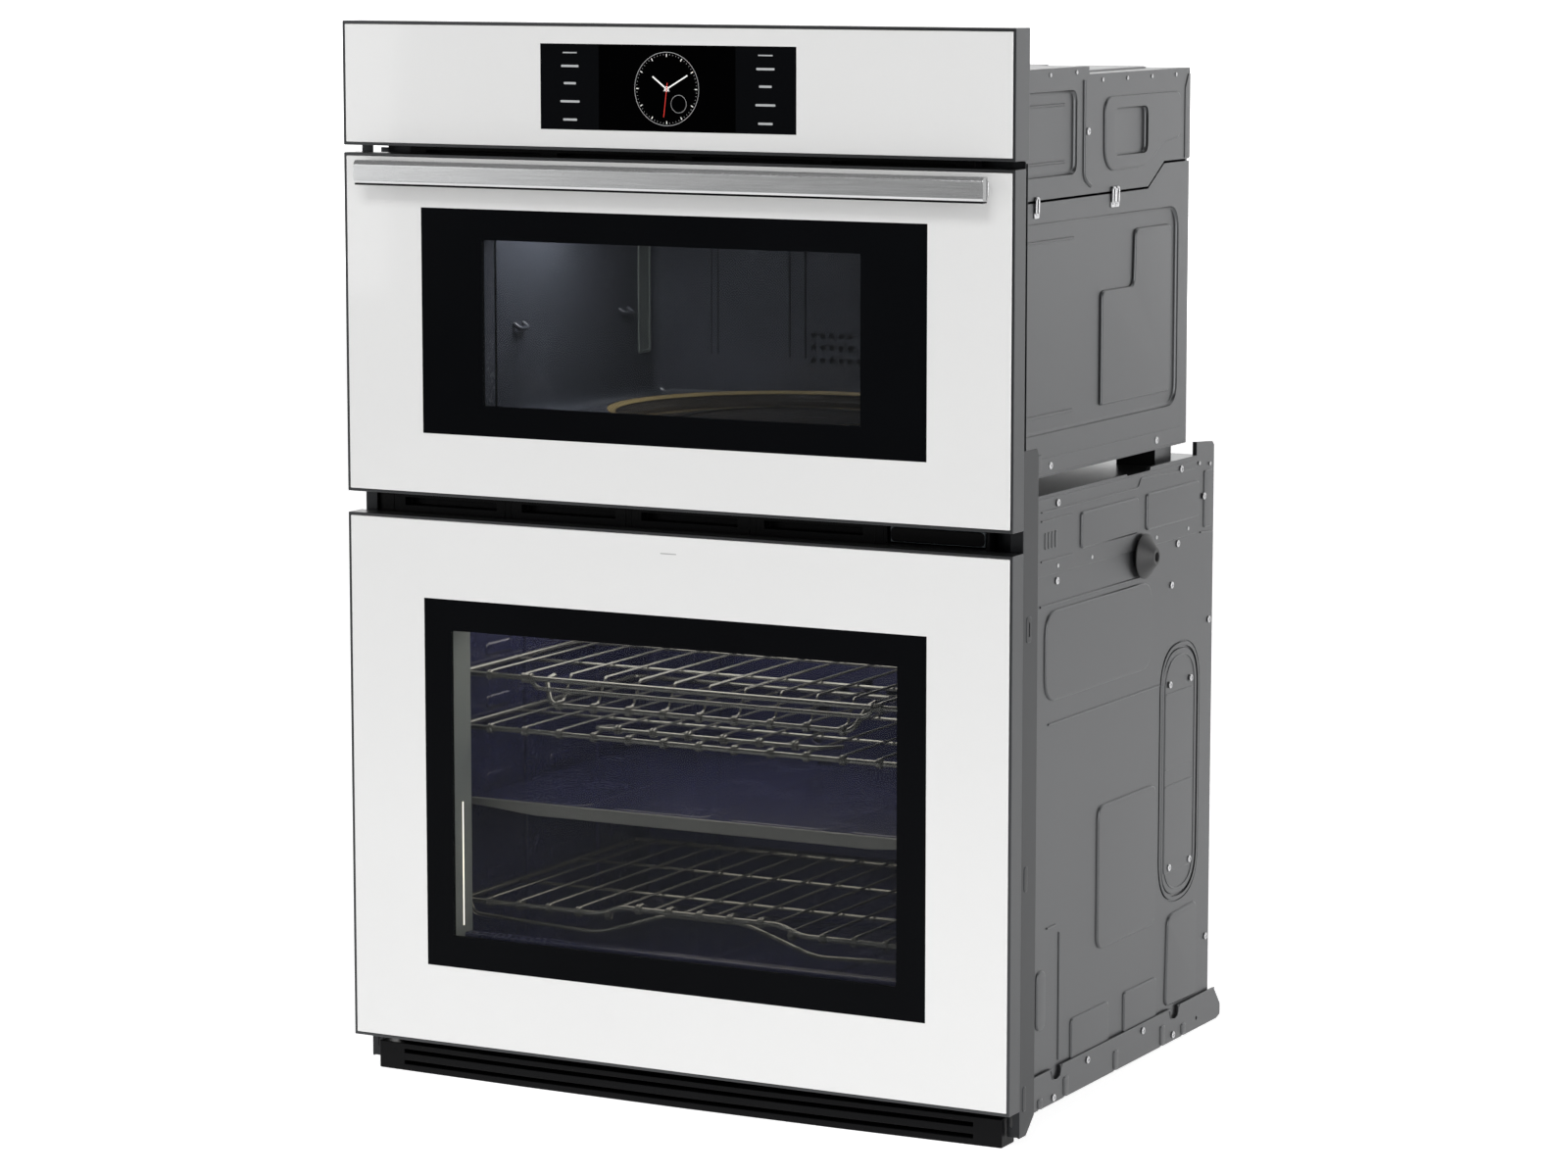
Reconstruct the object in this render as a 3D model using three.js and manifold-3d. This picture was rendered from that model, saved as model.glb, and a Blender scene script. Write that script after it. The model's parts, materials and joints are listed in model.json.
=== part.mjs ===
// Built-in combination wall oven: a microwave above a convection oven in one steel chassis.
// Millimetres, +Z up. Parts are drawn in a working frame: x = 0 on the centre line, y = 0 on the
// front glass and growing backwards, z = 0 at the lower door's bottom edge. The whole group is then
// shifted so that the origin is the bottom centre of the object's own box.
import * as THREE from 'three';
import { mergeVertices } from 'three/addons/utils/BufferGeometryUtils.js';
import Module from 'manifold-3d';

const wasm = await Module();
wasm.setup();

// ---- driving dimensions ----
const gap = 0.3;                  // clearance between pieces that touch
const sheet = 1.2;                // casing sheet thickness
const halfWidth = 378.5;          // half the width of the doors and the control panel
const lowestPoint = -38;          // underside of the skids
const backTip = 577;              // rearmost point, the tip of the foot brackets
const handleFront = -20;          // front face of the handle bar
const handleHalf = 354;           // half the handle bar's length
const handleZ = [890, 915];

const lowerDoorZ = [0, 551.8];
const upperDoorZ = [573.6, 921.7];
const panelZ = [929.2, 1055.3];
const doorDepth = 25;             // depth of a door's outer frame
const panelDepth = 32;
const glassDepth = 4.2;           // outer glass of a door or of the panel
const edgeWidth = 2.9;            // metal edge that shows around the glass
const frameBar = 40;              // width of a door frame's side members
const linerBack = 46;             // rear face of a door's inner panel

const hingeY = 11;                // hinge axis, from the front glass
const hingeRise = 11;             // hinge axis, above a door's bottom edge
const armX = [344, 348];          // the hinge arm's plate
const armHalf = 5;                // half the arm's height
const armBack = 130;

const frontPlateY = [50, 52];     // face plate of the chassis
const trimX = [374.3, 375.5];     // side wall of the side trim
const trimFront = 30;
const trimBack = 65;
const trimFoot = -29;
const casingFront = 52.6;
const lowerHalf = 357;            // half the lower casing's width
const lowerBack = 550;
const lowerZ = [-21, 594];        // base and deck of the lower casing
const upperHalf = 352;            // half the upper casing's width
const upperBack = 483;
const upperZ = [614, 1005];
const seam = [[377, 885], [418, 910]];  // bend in the joint between cover and upper sides
const raisedTop = 1013;           // front part of the top cover
const raisedTopBack = 228;

const ovenHalf = 290;             // inside of the lower oven
const ovenZ = [60, 490];
const ovenBack = 480;
const ovenWall = 3;
const microHalf = 250;            // inside of the microwave
const microZ = [640, 880];
const microBack = 420;
const microWall = 1.5;
const plateCentreY = 240;         // turntable axis
const fanCentreZ = 275;           // convection fan axis
const lampY = [74, 85];           // oven lamp's lens, on the left wall
const lampZ = [104, 242];
const heaterZ = 474;              // grill element, under the oven's roof
const elementY = 464;             // ring element, behind the fan cover
const reservoirX = [223, 338];    // outside of the reservoir's housing
const reservoirZ = [549.5, 572];
const blowerCentre = { y: 330, z: 940 };

// ---- finishes ----
const finishes = {
  whiteGlass: { color: 0xeeefed, roughness: 0.08, metalness: 0 },
  clearGlass: { color: 0x6c7478, roughness: 0.05, metalness: 0 },
  edgeMetal: { color: 0xa9acae, roughness: 0.32, metalness: 0.9 },
  brushedSteel: { color: 0xc4c6c8, roughness: 0.3, metalness: 0.95 },
  galvanised: { color: 0x8c8f92, roughness: 0.5, metalness: 0.8 },
  greyTrim: { color: 0x5c5e62, roughness: 0.55, metalness: 0.4 },
  blackPlastic: { color: 0x15161a, roughness: 0.6, metalness: 0 },
  navyEnamel: { color: 0x232a38, roughness: 0.35, metalness: 0.05 },
  greyEnamel: { color: 0x3c3f44, roughness: 0.4, metalness: 0.05 },
  chromeWire: { color: 0xd2d4d6, roughness: 0.2, metalness: 1 },
  heaterSheath: { color: 0x4a4845, roughness: 0.6, metalness: 0.6 },
  castAluminium: { color: 0xb2b4b6, roughness: 0.5, metalness: 0.9 },
  fibre: { color: 0xd8cfae, roughness: 1, metalness: 0 },
  gasketBraid: { color: 0x33343a, roughness: 0.9, metalness: 0 },
  rubberBlack: { color: 0x121212, roughness: 0.8, metalness: 0 },
  boardGreen: { color: 0x1f5a3c, roughness: 0.6, metalness: 0 },
  tankPlastic: { color: 0xaab4ba, roughness: 0.25, metalness: 0 },
};

// ---- shape helpers ----
function block([x0, x1], [y0, y1], [z0, z1]) {
  const shape = new THREE.BoxGeometry(x1 - x0, y1 - y0, z1 - z0);
  return shape.translate((x0 + x1) / 2, (y0 + y1) / 2, (z0 + z1) / 2);
}

// An outline of [y, z] points, drawn anticlockwise as seen from +X, pulled along X.
function extrudeX(points, [x0, x1]) {
  const outline = new THREE.Shape(points.map(([y, z]) => new THREE.Vector2(y, z)));
  const shape = new THREE.ExtrudeGeometry(outline, { depth: x1 - x0, bevelEnabled: false });
  const turn = new THREE.Matrix4().makeBasis(
    new THREE.Vector3(0, 1, 0), new THREE.Vector3(0, 0, 1), new THREE.Vector3(1, 0, 0));
  return shape.applyMatrix4(turn).translate(x0, 0, 0);
}

// An outline of [x, z] points pulled along Y.
function extrudeY(points, [y0, y1]) {
  const outline = new THREE.Shape(points.map(([x, z]) => new THREE.Vector2(x, z)));
  const shape = new THREE.ExtrudeGeometry(outline, { depth: y1 - y0, bevelEnabled: false });
  const turn = new THREE.Matrix4().makeBasis(
    new THREE.Vector3(1, 0, 0), new THREE.Vector3(0, 0, 1), new THREE.Vector3(0, -1, 0));
  return shape.applyMatrix4(turn).translate(0, y1, 0);
}

// A straight round bar between two points.
function rod(from, to, radius, sides = 6) {
  const start = new THREE.Vector3(...from);
  const run = new THREE.Vector3(...to).sub(start);
  const shape = new THREE.CylinderGeometry(radius, radius, run.length(), sides);
  const turn = new THREE.Quaternion().setFromUnitVectors(
    new THREE.Vector3(0, 1, 0), run.clone().normalize());
  return shape.applyQuaternion(turn).translate(...start.addScaledVector(run, 0.5).toArray());
}

function solidOf(shape) {
  const bare = shape.clone();
  bare.deleteAttribute('normal');
  bare.deleteAttribute('uv');
  const merged = mergeVertices(bare, 1e-4);
  return new wasm.Manifold(new wasm.Mesh({
    numProp: 3,
    vertProperties: Float32Array.from(merged.attributes.position.array),
    triVerts: Uint32Array.from(merged.index.array),
  }));
}

function shapeOf(solid) {
  const mesh = solid.getMesh();
  const shape = new THREE.BufferGeometry();
  shape.setAttribute('position', new THREE.BufferAttribute(mesh.vertProperties, 3));
  shape.setIndex(new THREE.BufferAttribute(mesh.triVerts, 1));
  return shape;
}

function join(...shapes) {
  return shapeOf(shapes.map(solidOf).reduce((whole, next) => whole.add(next)));
}

function cut(shape, ...tools) {
  return shapeOf(tools.map(solidOf).reduce((rest, next) => rest.subtract(next), solidOf(shape)));
}

// The same shape on the other side of the centre line.
function mirrored(shape) {
  const other = shape.index ? shape.toNonIndexed() : shape.clone();
  const p = other.attributes.position;
  for (let i = 0; i < p.count; i += 3) {
    const a = [p.getX(i), p.getY(i), p.getZ(i)];
    p.setXYZ(i, -p.getX(i + 1), p.getY(i + 1), p.getZ(i + 1));
    p.setXYZ(i + 1, -a[0], a[1], a[2]);
    p.setX(i + 2, -p.getX(i + 2));
  }
  return other;
}

const wallOven = new THREE.Group();
wallOven.position.set(0, -(handleFront + backTip) / 2, -lowestPoint);

function add(name, shape, finish) {
  const mesh = new THREE.Mesh(shape, new THREE.MeshStandardMaterial(finishes[finish]));
  mesh.name = name;
  wallOven.add(mesh);
}

// A piece for the right-hand side (+X) and its mirror image for the left.
function addPair(name, shape, finish) {
  add(`${name}_right`, shape, finish);
  add(`${name}_left`, mirrored(shape), finish);
}

const span = (half) => [-half, half];
const inset = ([low, high], by) => [low + by, high - by];

// ---- lower casing ----
function addLowerCasing() {
  const skidX = [278, 302];
  const skid = block(skidX, [70, 560], [lowestPoint, lowerZ[0] + 0.5]);
  const pan = block(span(lowerHalf), [casingFront, lowerBack], [lowerZ[0], lowerZ[0] + sheet]);
  add('base_pan', join(pan, skid, mirrored(skid)), 'galvanised');

  // The sides stand a little above the deck and rise to an ear at the rear.
  const wallFoot = lowerZ[0] + sheet + gap;
  const backY = [lowerBack - sheet, lowerBack];
  const ear = backY[0] - gap;
  addPair('lower_side', extrudeX([
    [casingFront, wallFoot], [ear, wallFoot], [ear, 606], [501, 613],
    [501, 599], [380, 599], [375, 595], [321, 595], [321, 597.5], [casingFront, 597.5],
  ], [lowerHalf - sheet, lowerHalf]), 'galvanised');
  const deckHalf = lowerHalf - sheet - gap;
  add('lower_back_panel', block(span(lowerHalf), backY, [wallFoot, lowerZ[1] - sheet - gap]),
    'galvanised');

  const deck = block(span(deckHalf), [casingFront, lowerBack], [lowerZ[1] - sheet, lowerZ[1]]);
  const support = block([296, 340], [430, 472], [lowerZ[1] - 0.5, upperZ[0] - gap]);
  add('deck_panel', join(deck, support, mirrored(support)), 'galvanised');

  // Stiffening bracket along the foot of each side, with a pointed rear end and two notches.
  const bracket = extrudeX([
    [70, -20], [567, -20], [backTip, -17], [backTip, -5], [559, 16],
    [461, 16], [453, 3], [446, 3], [441, 16],
    [162, 16], [152, 3], [145, 3], [140, 16], [70, 16],
  ], [lowerHalf + gap, lowerHalf + 3]);
  addPair('foot_bracket', bracket, 'galvanised');

  // Hollow cone that keeps the casing off the cabinet's side.
  const cone = [[0, 0], [23.5, 0], [23.5, 3], [9, 17.5], [5, 17.5], [3.5, 12], [0, 12]];
  const bumper = new THREE.LatheGeometry(cone.map(([r, h]) => new THREE.Vector2(r, h)), 20);
  bumper.rotateZ(-Math.PI / 2).translate(lowerHalf + gap, 358, 509);
  add('side_bumper', bumper, 'rubberBlack');
}

// ---- face plate, trims and grilles ----
function addFront() {
  const plate = block(span(356), frontPlateY, [-18, 1000]);
  const through = [frontPlateY[0] - 1, frontPlateY[1] + 1];
  const ovenHole = block(span(ovenHalf + ovenWall + gap), through, inset(ovenZ, -ovenWall - gap));
  const microHole = block(span(microHalf + microWall + gap), through,
    inset(microZ, -microWall - gap));
  const slots = [lowerDoorZ[0], upperDoorZ[0]].map((z) => block(
    [armX[0] - 3, armX[1] + 3], through, [z + hingeRise - armHalf - 3, z + hingeRise + armHalf + 3]));
  const reservoirHole = block([reservoirX[0] - gap, reservoirX[1] + gap], through,
    [reservoirZ[0] - gap, reservoirZ[1] + gap]);
  add('front_frame', cut(plate, ovenHole, microHole, reservoirHole,
    ...slots, ...slots.map(mirrored)), 'greyTrim');

  // Side trim: flange towards the cabinet face, side wall and a return to the casing.
  const flange = block([362, trimX[1]], [trimFront, trimFront + sheet],
    [trimFoot, panelZ[0] - 0.7]);
  const side = extrudeX([
    [trimFront, trimFoot], [46, trimFoot], [trimBack, -12], [trimBack, 650], [trimFront, 650],
  ], trimX);
  const back = block([lowerHalf + gap, trimX[1]], [trimBack - sheet, trimBack], [20, 600]);
  addPair('side_trim', join(flange, side, back), 'greyTrim');

  // Grille below the lower door, with a bowed front and two rows of outlets.
  const bow = 7;
  const bowed = [[-361, 50], [361, 50]];
  for (let step = 0; step <= 8; step += 1) {
    const x = 361 - (722 * step) / 8;
    bowed.push([x, 14 + bow * (x / 361) ** 2]);
  }
  const outline = new THREE.Shape(bowed.map(([x, y]) => new THREE.Vector2(x, y)));
  const grille = new THREE.ExtrudeGeometry(outline, { depth: 29, bevelEnabled: false });
  grille.translate(0, 0, lowestPoint);
  const rows = [-31, -19].map((z) => block(span(330), [5, 36], [z, z + 4]));
  add('bottom_vent_trim', cut(grille, ...rows), 'blackPlastic');

  // Grille between the doors: a face with slots, open behind, that ends beside the reservoir.
  const middle = block([-361, reservoirX[0] - gap], [34, frontPlateY[0] - gap], [545, 580]);
  const outlets = [-330, -190, -50, 90].map((x) => block([x, x + 110], [33, 47], [558, 566]));
  const armNotch = mirrored(block([armX[0] - 3, armX[1] + 3], [33, 51], [573, 581]));
  add('middle_vent_trim', cut(middle, armNotch, ...outlets), 'blackPlastic');

  const upper = block(span(320), [34, frontPlateY[0] - gap], [912, 928]);
  const upperOutlets = [-300, -145, 10, 165].map((x) => block([x, x + 135], [33, 47], [918, 924]));
  add('top_vent_trim', cut(upper, ...upperOutlets), 'blackPlastic');
}

// ---- lower oven ----
const rackHeights = { upper: 382, middle: 326, divider: 247, lower: 142 };
const rackHalf = 286;
const rackRod = 2.6;
const rackWire = 1.8;
const rackY = [63, 430];

function addLowerOven() {
  const shell = block(span(ovenHalf + ovenWall), [frontPlateY[0], ovenBack + ovenWall],
    inset(ovenZ, -ovenWall));
  const hollow = block(span(ovenHalf), [frontPlateY[0] - 1, ovenBack], ovenZ);
  const shaftHole = rod([0, ovenBack - 1, fanCentreZ], [0, ovenBack + 5, fanCentreZ], 9, 12);
  let liner = cut(shell, hollow, shaftHole);
  for (const z of Object.values(rackHeights)) {
    const rib = block([ovenHalf - 8, ovenHalf + 1], [125, ovenBack - 8],
      [z - rackRod - gap - 5, z - rackRod - gap]);
    liner = join(liner, rib, mirrored(rib));
  }
  add('lower_cavity', liner, 'navyEnamel');

  const wrap = block(span(322), [60, 478], [30, 520]);
  const inside = block(span(ovenHalf + ovenWall + gap), [59, 479], inset(ovenZ, -ovenWall - gap));
  add('oven_insulation', cut(wrap, inside), 'fibre');

  // Grill element: three hairpin loops of sheathed heater under the roof.
  const route = [
    [-200, 478], [-200, 120], [-120, 120], [-120, 420], [-40, 420], [-40, 120],
    [40, 120], [40, 420], [120, 420], [120, 120], [200, 120], [200, 478],
  ];
  const last = route.length - 2;
  const pieces = route.slice(1).map(([x, y], i) => {
    const [px, py] = route[i];
    const stretch = 3 / Math.hypot(x - px, y - py);
    const dx = (x - px) * stretch;
    const dy = (y - py) * stretch;
    return rod([px - (i ? dx : 0), py - (i ? dy : 0), heaterZ],
      [x + (i < last ? dx : 0), y + (i < last ? dy : 0), heaterZ], 3.2);
  });
  add('broil_element', join(...pieces), 'heaterSheath');

  const ring = new THREE.TorusGeometry(105, 3.5, 6, 28);
  ring.rotateX(Math.PI / 2).translate(0, elementY, fanCentreZ);
  add('convection_element', ring, 'heaterSheath');

  // Fan cover: a shallow dish on the rear wall with rows of outlets.
  const dish = block(span(165), [440, ovenBack - gap], [145, 405]);
  const dishHollow = block(span(162), [443, ovenBack + 1], [148, 402]);
  const holes = [];
  for (let i = 0; i < 12; i += 1) {
    const angle = (i / 12) * 2 * Math.PI;
    const x = 60 * Math.cos(angle);
    const z = fanCentreZ + 60 * Math.sin(angle);
    holes.push(rod([x, 438, z], [x, 445, z], 8, 8));
  }
  add('fan_cover', cut(dish, dishHollow, ...holes), 'navyEnamel');

  add('fan_motor', join(
    rod([0, ovenBack + ovenWall + gap, fanCentreZ], [0, 540, fanCentreZ], 34, 16),
    block(span(60), [ovenBack + ovenWall + gap, 487], [fanCentreZ - 12, fanCentreZ + 12])),
  'castAluminium');

  add('oven_lamp', block([-ovenHalf + gap, -ovenHalf + 3.2], lampY, lampZ), 'clearGlass');

  const sealY = [linerBack + gap, frontPlateY[0] - gap];
  const seal = block(span(310), sealY, [40, 510]);
  add('door_gasket', cut(seal, block(span(297), [40, 55], [53, 497])), 'gasketBraid');
}

// ---- racks ----
// A polyline of rods through [x, z] points at one depth.
function rail(points, y, radius) {
  return points.slice(1).map(([x, z], i) => rod([points[i][0], y, points[i][1]], [x, y, z], radius));
}

function railHeight(points, x) {
  const next = Math.max(1, points.findIndex(([px]) => px >= x));
  const [[x0, z0], [x1, z1]] = [points[next - 1], points[next]];
  return z0 + ((z1 - z0) * (x - x0)) / (x1 - x0);
}

function wireRack(front, count) {
  const [y0, y1] = rackY;
  const half = front[front.length - 1][0];
  const rods = [...rail(front, y0, rackRod), ...rail(front, y1, rackRod)];
  for (let i = 0; i <= count + 1; i += 1) {
    const x = -half + (2 * half * i) / (count + 1);
    const edge = i === 0 || i === count + 1;
    const z = railHeight(front, x);
    const reach = edge ? 0 : -0.5;
    rods.push(rod([x, y0 + reach, z], [x, y1 - reach, z], edge ? rackRod : rackWire));
  }
  return join(...rods);
}

function addRacks() {
  const half = rackHalf - rackRod;
  const top = rackHeights.upper;
  add('upper_rack', wireRack([
    [-half, top], [-196, top], [-184, top - 10], [184, top - 10], [196, top], [half, top],
  ], 13), 'chromeWire');
  add('middle_rack', wireRack([[-half, rackHeights.middle], [half, rackHeights.middle]],
    13), 'chromeWire');
  const low = rackHeights.lower;
  add('lower_rack', wireRack([
    [-half, low], [-117, low], [-94, low + 8], [94, low + 8], [117, low], [half, low],
  ], 15), 'chromeWire');

  // Divider: a flat tray with a front lip that is deeper in the middle.
  const z = rackHeights.divider;
  const tray = block(span(rackHalf), [64, rackY[1]], [z - rackRod, z - rackRod + 2]);
  const lip = extrudeY([
    [-rackHalf, z - 3], [-238, z - 3], [-196, z - 9], [196, z - 9], [238, z - 3],
    [rackHalf, z - 3], [rackHalf, z + 5], [-rackHalf, z + 5],
  ], [62, 64.5]);
  add('divider_plate', join(tray, lip), 'greyEnamel');
}

// ---- hinges ----
function addHinges(name, doorBottom) {
  const z = doorBottom + hingeRise;
  const arm = block(armX, [hingeY, armBack], [z - armHalf, z + armHalf]);
  const eye = rod([armX[0], hingeY, z], [armX[1], hingeY, z], armHalf, 16);
  const pin = rod([armX[0] - 10, hingeY, z], [armX[1] + 10, hingeY, z], 2.5, 12);
  const foot = block([armX[0], armX[1] + 2], [armBack - 40, armBack], [z - 7, z + 7]);
  addPair(name, join(arm, eye, pin, foot), 'galvanised');
}

// ---- doors ----
// Outer frame of a door: a rebate for the glass in front, an opening, and a pocket at each
// bottom corner where the hinge arm enters.
function doorFrame([z0, z1], openingZ) {
  const body = block(span(halfWidth), [0.5, doorDepth], [z0, z1]);
  const rebate = block(span(halfWidth - edgeWidth), [-1, glassDepth + gap],
    [z0 + edgeWidth, z1 - edgeWidth]);
  const opening = block(span(halfWidth - frameBar), [-1, doorDepth + 1], openingZ);
  const pivot = z0 + hingeRise;
  const pocket = block([armX[0] - 4, armX[1] + 4], [hingeY - 6, doorDepth + 1], [z0 - 1, pivot + 8]);
  const pinHole = rod([armX[0] - 11, hingeY, pivot], [armX[1] + 11, hingeY, pivot], 2.9, 12);
  return cut(body, rebate, opening, pocket, mirrored(pocket), pinHole, mirrored(pinHole));
}

function frontGlass([z0, z1]) {
  const half = halfWidth - edgeWidth - gap;
  const margin = edgeWidth + gap;
  const outline = new THREE.Shape([
    new THREE.Vector2(-half, z0 + margin), new THREE.Vector2(half, z0 + margin),
    new THREE.Vector2(half, z1 - margin), new THREE.Vector2(-half, z1 - margin),
  ]);
  const pane = new THREE.ExtrudeGeometry(outline, {
    depth: glassDepth - 1.2, bevelEnabled: true, bevelThickness: 0.6, bevelSize: 0.6,
    bevelOffset: -0.6, bevelSegments: 1,
  });
  return pane.rotateX(Math.PI / 2).translate(0, glassDepth - 0.6, 0);
}

function addLowerDoor() {
  add('lower_door_frame', doorFrame(lowerDoorZ, [30, 522]), 'edgeMetal');
  add('lower_door_outer_glass', frontGlass(lowerDoorZ), 'whiteGlass');
  const linerY = [doorDepth + gap, linerBack];
  const liner = block(span(335), linerY, [25, 527]);
  const window = block(span(262), [20, 50], [116, 442]);
  const seat = block(span(276), [linerBack - 4.8, 50], [102, 456]);
  add('lower_door_liner', cut(liner, window, seat), 'navyEnamel');
  add('lower_door_inner_glass', block(span(275.5), [linerBack - 4.5, linerBack - 0.5],
    [102.5, 455.5]), 'clearGlass');
}

function addUpperDoor() {
  add('upper_door_frame', doorFrame(upperDoorZ, [606, 892]), 'edgeMetal');
  add('upper_door_outer_glass', frontGlass(upperDoorZ), 'whiteGlass');
  const choke = block(span(300), [doorDepth + gap, linerBack], [608, 904]);
  const window = block(span(222), [20, 50], [661, 845]);
  const seat = block(span(230), [linerBack - 3.3, 50], [653, 853]);
  add('upper_door_choke_panel', cut(choke, window, seat), 'greyEnamel');
  add('upper_door_inner_screen', block(span(229.5), [linerBack - 3, linerBack - 1],
    [653.5, 852.5]), 'clearGlass');

  // Handle: a bar with a bevelled front on two posts.
  const barBack = handleFront + 11;
  const [foot, crown] = handleZ;
  const section = [
    [barBack, foot], [barBack, crown], [handleFront + 3, crown], [handleFront, crown - 6],
    [handleFront, foot + 4], [handleFront + 2.5, foot],
  ].reverse();
  add('handle_bar', extrudeX(section, span(handleHalf)), 'brushedSteel');
  addPair('handle_post', block([handleHalf - 18, handleHalf - 4], [barBack + gap, -gap],
    inset(handleZ, 5)), 'brushedSteel');
}

// ---- upper casing ----
function addUpperCasing() {
  const wallX = [upperHalf - sheet, upperHalf];
  const [[bendY, bendZ], [riseY, riseZ]] = seam;
  const wall = extrudeX([
    [casingFront, upperZ[0]], [upperBack, upperZ[0]], [upperBack, riseZ - gap],
    [riseY, riseZ - gap], [bendY, bendZ - gap], [casingFront, bendZ - gap],
  ], wallX);
  const flange = block([upperHalf - 60, upperHalf], [casingFront, upperBack - 4],
    [upperZ[0], upperZ[0] + sheet]);
  addPair('upper_side', join(wall, flange), 'galvanised');

  const low = upperZ[1];
  add('upper_back_panel', block(span(wallX[0] - gap), [upperBack - sheet, upperBack],
    [upperZ[0], low - sheet - gap]), 'galvanised');

  // Cover: a top with a raised front part, and skirts down to the seam.
  const top = extrudeX([
    [casingFront, raisedTop - sheet], [raisedTopBack - sheet, raisedTop - sheet],
    [raisedTopBack - sheet, low - sheet], [upperBack, low - sheet], [upperBack, low],
    [raisedTopBack, low], [raisedTopBack, raisedTop], [casingFront, raisedTop],
  ], span(upperHalf - sheet / 2));
  const lap = 0.4;                // keeps the skirt's edges off the top's own faces
  const skirt = extrudeX([
    [casingFront + lap, bendZ + gap], [bendY, bendZ + gap], [riseY, riseZ + gap],
    [upperBack - lap, riseZ + gap], [upperBack - lap, low - lap],
    [raisedTopBack - lap, low - lap], [raisedTopBack - lap, raisedTop - lap],
    [casingFront + lap, raisedTop - lap],
  ], wallX);
  add('upper_top_cover', join(top, skirt, mirrored(skirt)), 'galvanised');

  // Wiring box on the rear of the deck, with the threaded collar for the supply conduit.
  add('terminal_box', join(
    block([-60, 60], [490, 545], [lowerZ[1] + gap, 655]),
    rod([0, 518, 654], [0, 518, 672], 11, 16),
    rod([0, 518, 655], [0, 518, 660], 16, 6)), 'galvanised');
}

// ---- microwave ----
function addMicrowave() {
  const shell = block(span(microHalf + microWall), [frontPlateY[0], microBack + microWall],
    inset(microZ, -microWall));
  const hollow = block(span(microHalf), [frontPlateY[0] - 1, microBack], microZ);
  const shaft = rod([0, plateCentreY, microZ[0] - 4], [0, plateCentreY, microZ[0] + 2], 8, 16);
  add('microwave_cavity', cut(shell, hollow, shaft), 'greyEnamel');

  add('turntable_motor', rod([0, plateCentreY, 615.5], [0, plateCentreY, 634], 27, 20),
    'castAluminium');

  const platter = [
    [0, 634.5], [4, 634.5], [4, 648], [170, 648], [180, 654], [177, 655.5], [169, 651], [0, 651],
  ];
  const plate = new THREE.LatheGeometry(platter.map(([r, z]) => new THREE.Vector2(r, z)), 40);
  add('turntable_plate', plate.rotateX(Math.PI / 2).translate(0, plateCentreY, 0), 'clearGlass');

  const hoop = new THREE.LatheGeometry(
    [[96, 642], [104, 642], [104, 646], [96, 646], [96, 642]].map(
      ([r, z]) => new THREE.Vector2(r, z)), 32);
  hoop.rotateX(Math.PI / 2).translate(0, plateCentreY, 0);
  const rollers = [0, 1, 2].map((i) => {
    const angle = (i * 2 * Math.PI) / 3;
    const at = (r) => [r * Math.cos(angle), plateCentreY + r * Math.sin(angle), 644];
    return rod(at(102), at(114), 3.6, 12);
  });
  add('roller_ring', join(hoop, ...rollers), 'blackPlastic');

  // Magnetron: a yoke with cooling fins, bolted to the outside of the right wall.
  const yoke = block([microHalf + microWall + gap, 330], [210, 290], [760, 850]);
  const fins = [0, 1, 2, 3, 4].map((i) => block([270 + i * 11, 276 + i * 11], [205, 295], [770, 840]));
  add('magnetron', cut(yoke, ...fins), 'castAluminium');

  add('power_inverter', join(
    block([258, 342], [320, 470], [upperZ[0] + sheet + gap, 618]),
    block([270, 330], [340, 400], [617, 680]),
    block([275, 325], [410, 460], [617, 655])), 'boardGreen');

  // Cooling blower on the microwave's roof: a scroll with side inlets, blowing forwards.
  const { y, z } = blowerCentre;
  const scroll = join(
    rod([-110, y, z], [110, y, z], 56, 24),
    block([-110, 110], [y - 130, y], [z - 56, z - 6]));
  const drum = rod([-108, y, z], [108, y, z], 53, 24);
  const throat = block([-108, 108], [y - 135, y], [z - 53, z - 9]);
  const inlets = rod([-115, y, z], [115, y, z], 34, 20);
  add('blower_housing', cut(scroll, drum, throat, inlets), 'galvanised');

  const blades = [];
  for (let i = 0; i < 16; i += 1) {
    const blade = block([-95, 95], [40, 48], [-1, 1]);
    blades.push(blade.rotateX((i * Math.PI) / 8).translate(0, y, z));
  }
  const disc = rod([-3, y, z], [3, y, z], 49, 24);
  const hub = rod([-100, y, z], [100, y, z], 5, 8);
  add('blower_wheel', join(disc, hub, ...blades), 'castAluminium');
}

function addConvectionFan() {
  const blades = [];
  for (let i = 0; i < 6; i += 1) {
    const blade = block([14, 78], [452, 472], [-1, 1]);
    blade.translate(0, -462, 0).rotateX(0.5).translate(0, 462, 0);
    blades.push(blade.rotateY((i * Math.PI) / 3).translate(0, 0, fanCentreZ));
  }
  const hub = rod([0, 450, fanCentreZ], [0, ovenBack + 2.8, fanCentreZ], 6, 12);
  const disc = rod([0, 460, fanCentreZ], [0, 463, fanCentreZ], 30, 20);
  add('convection_fan', join(hub, disc, ...blades), 'castAluminium');
}

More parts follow.
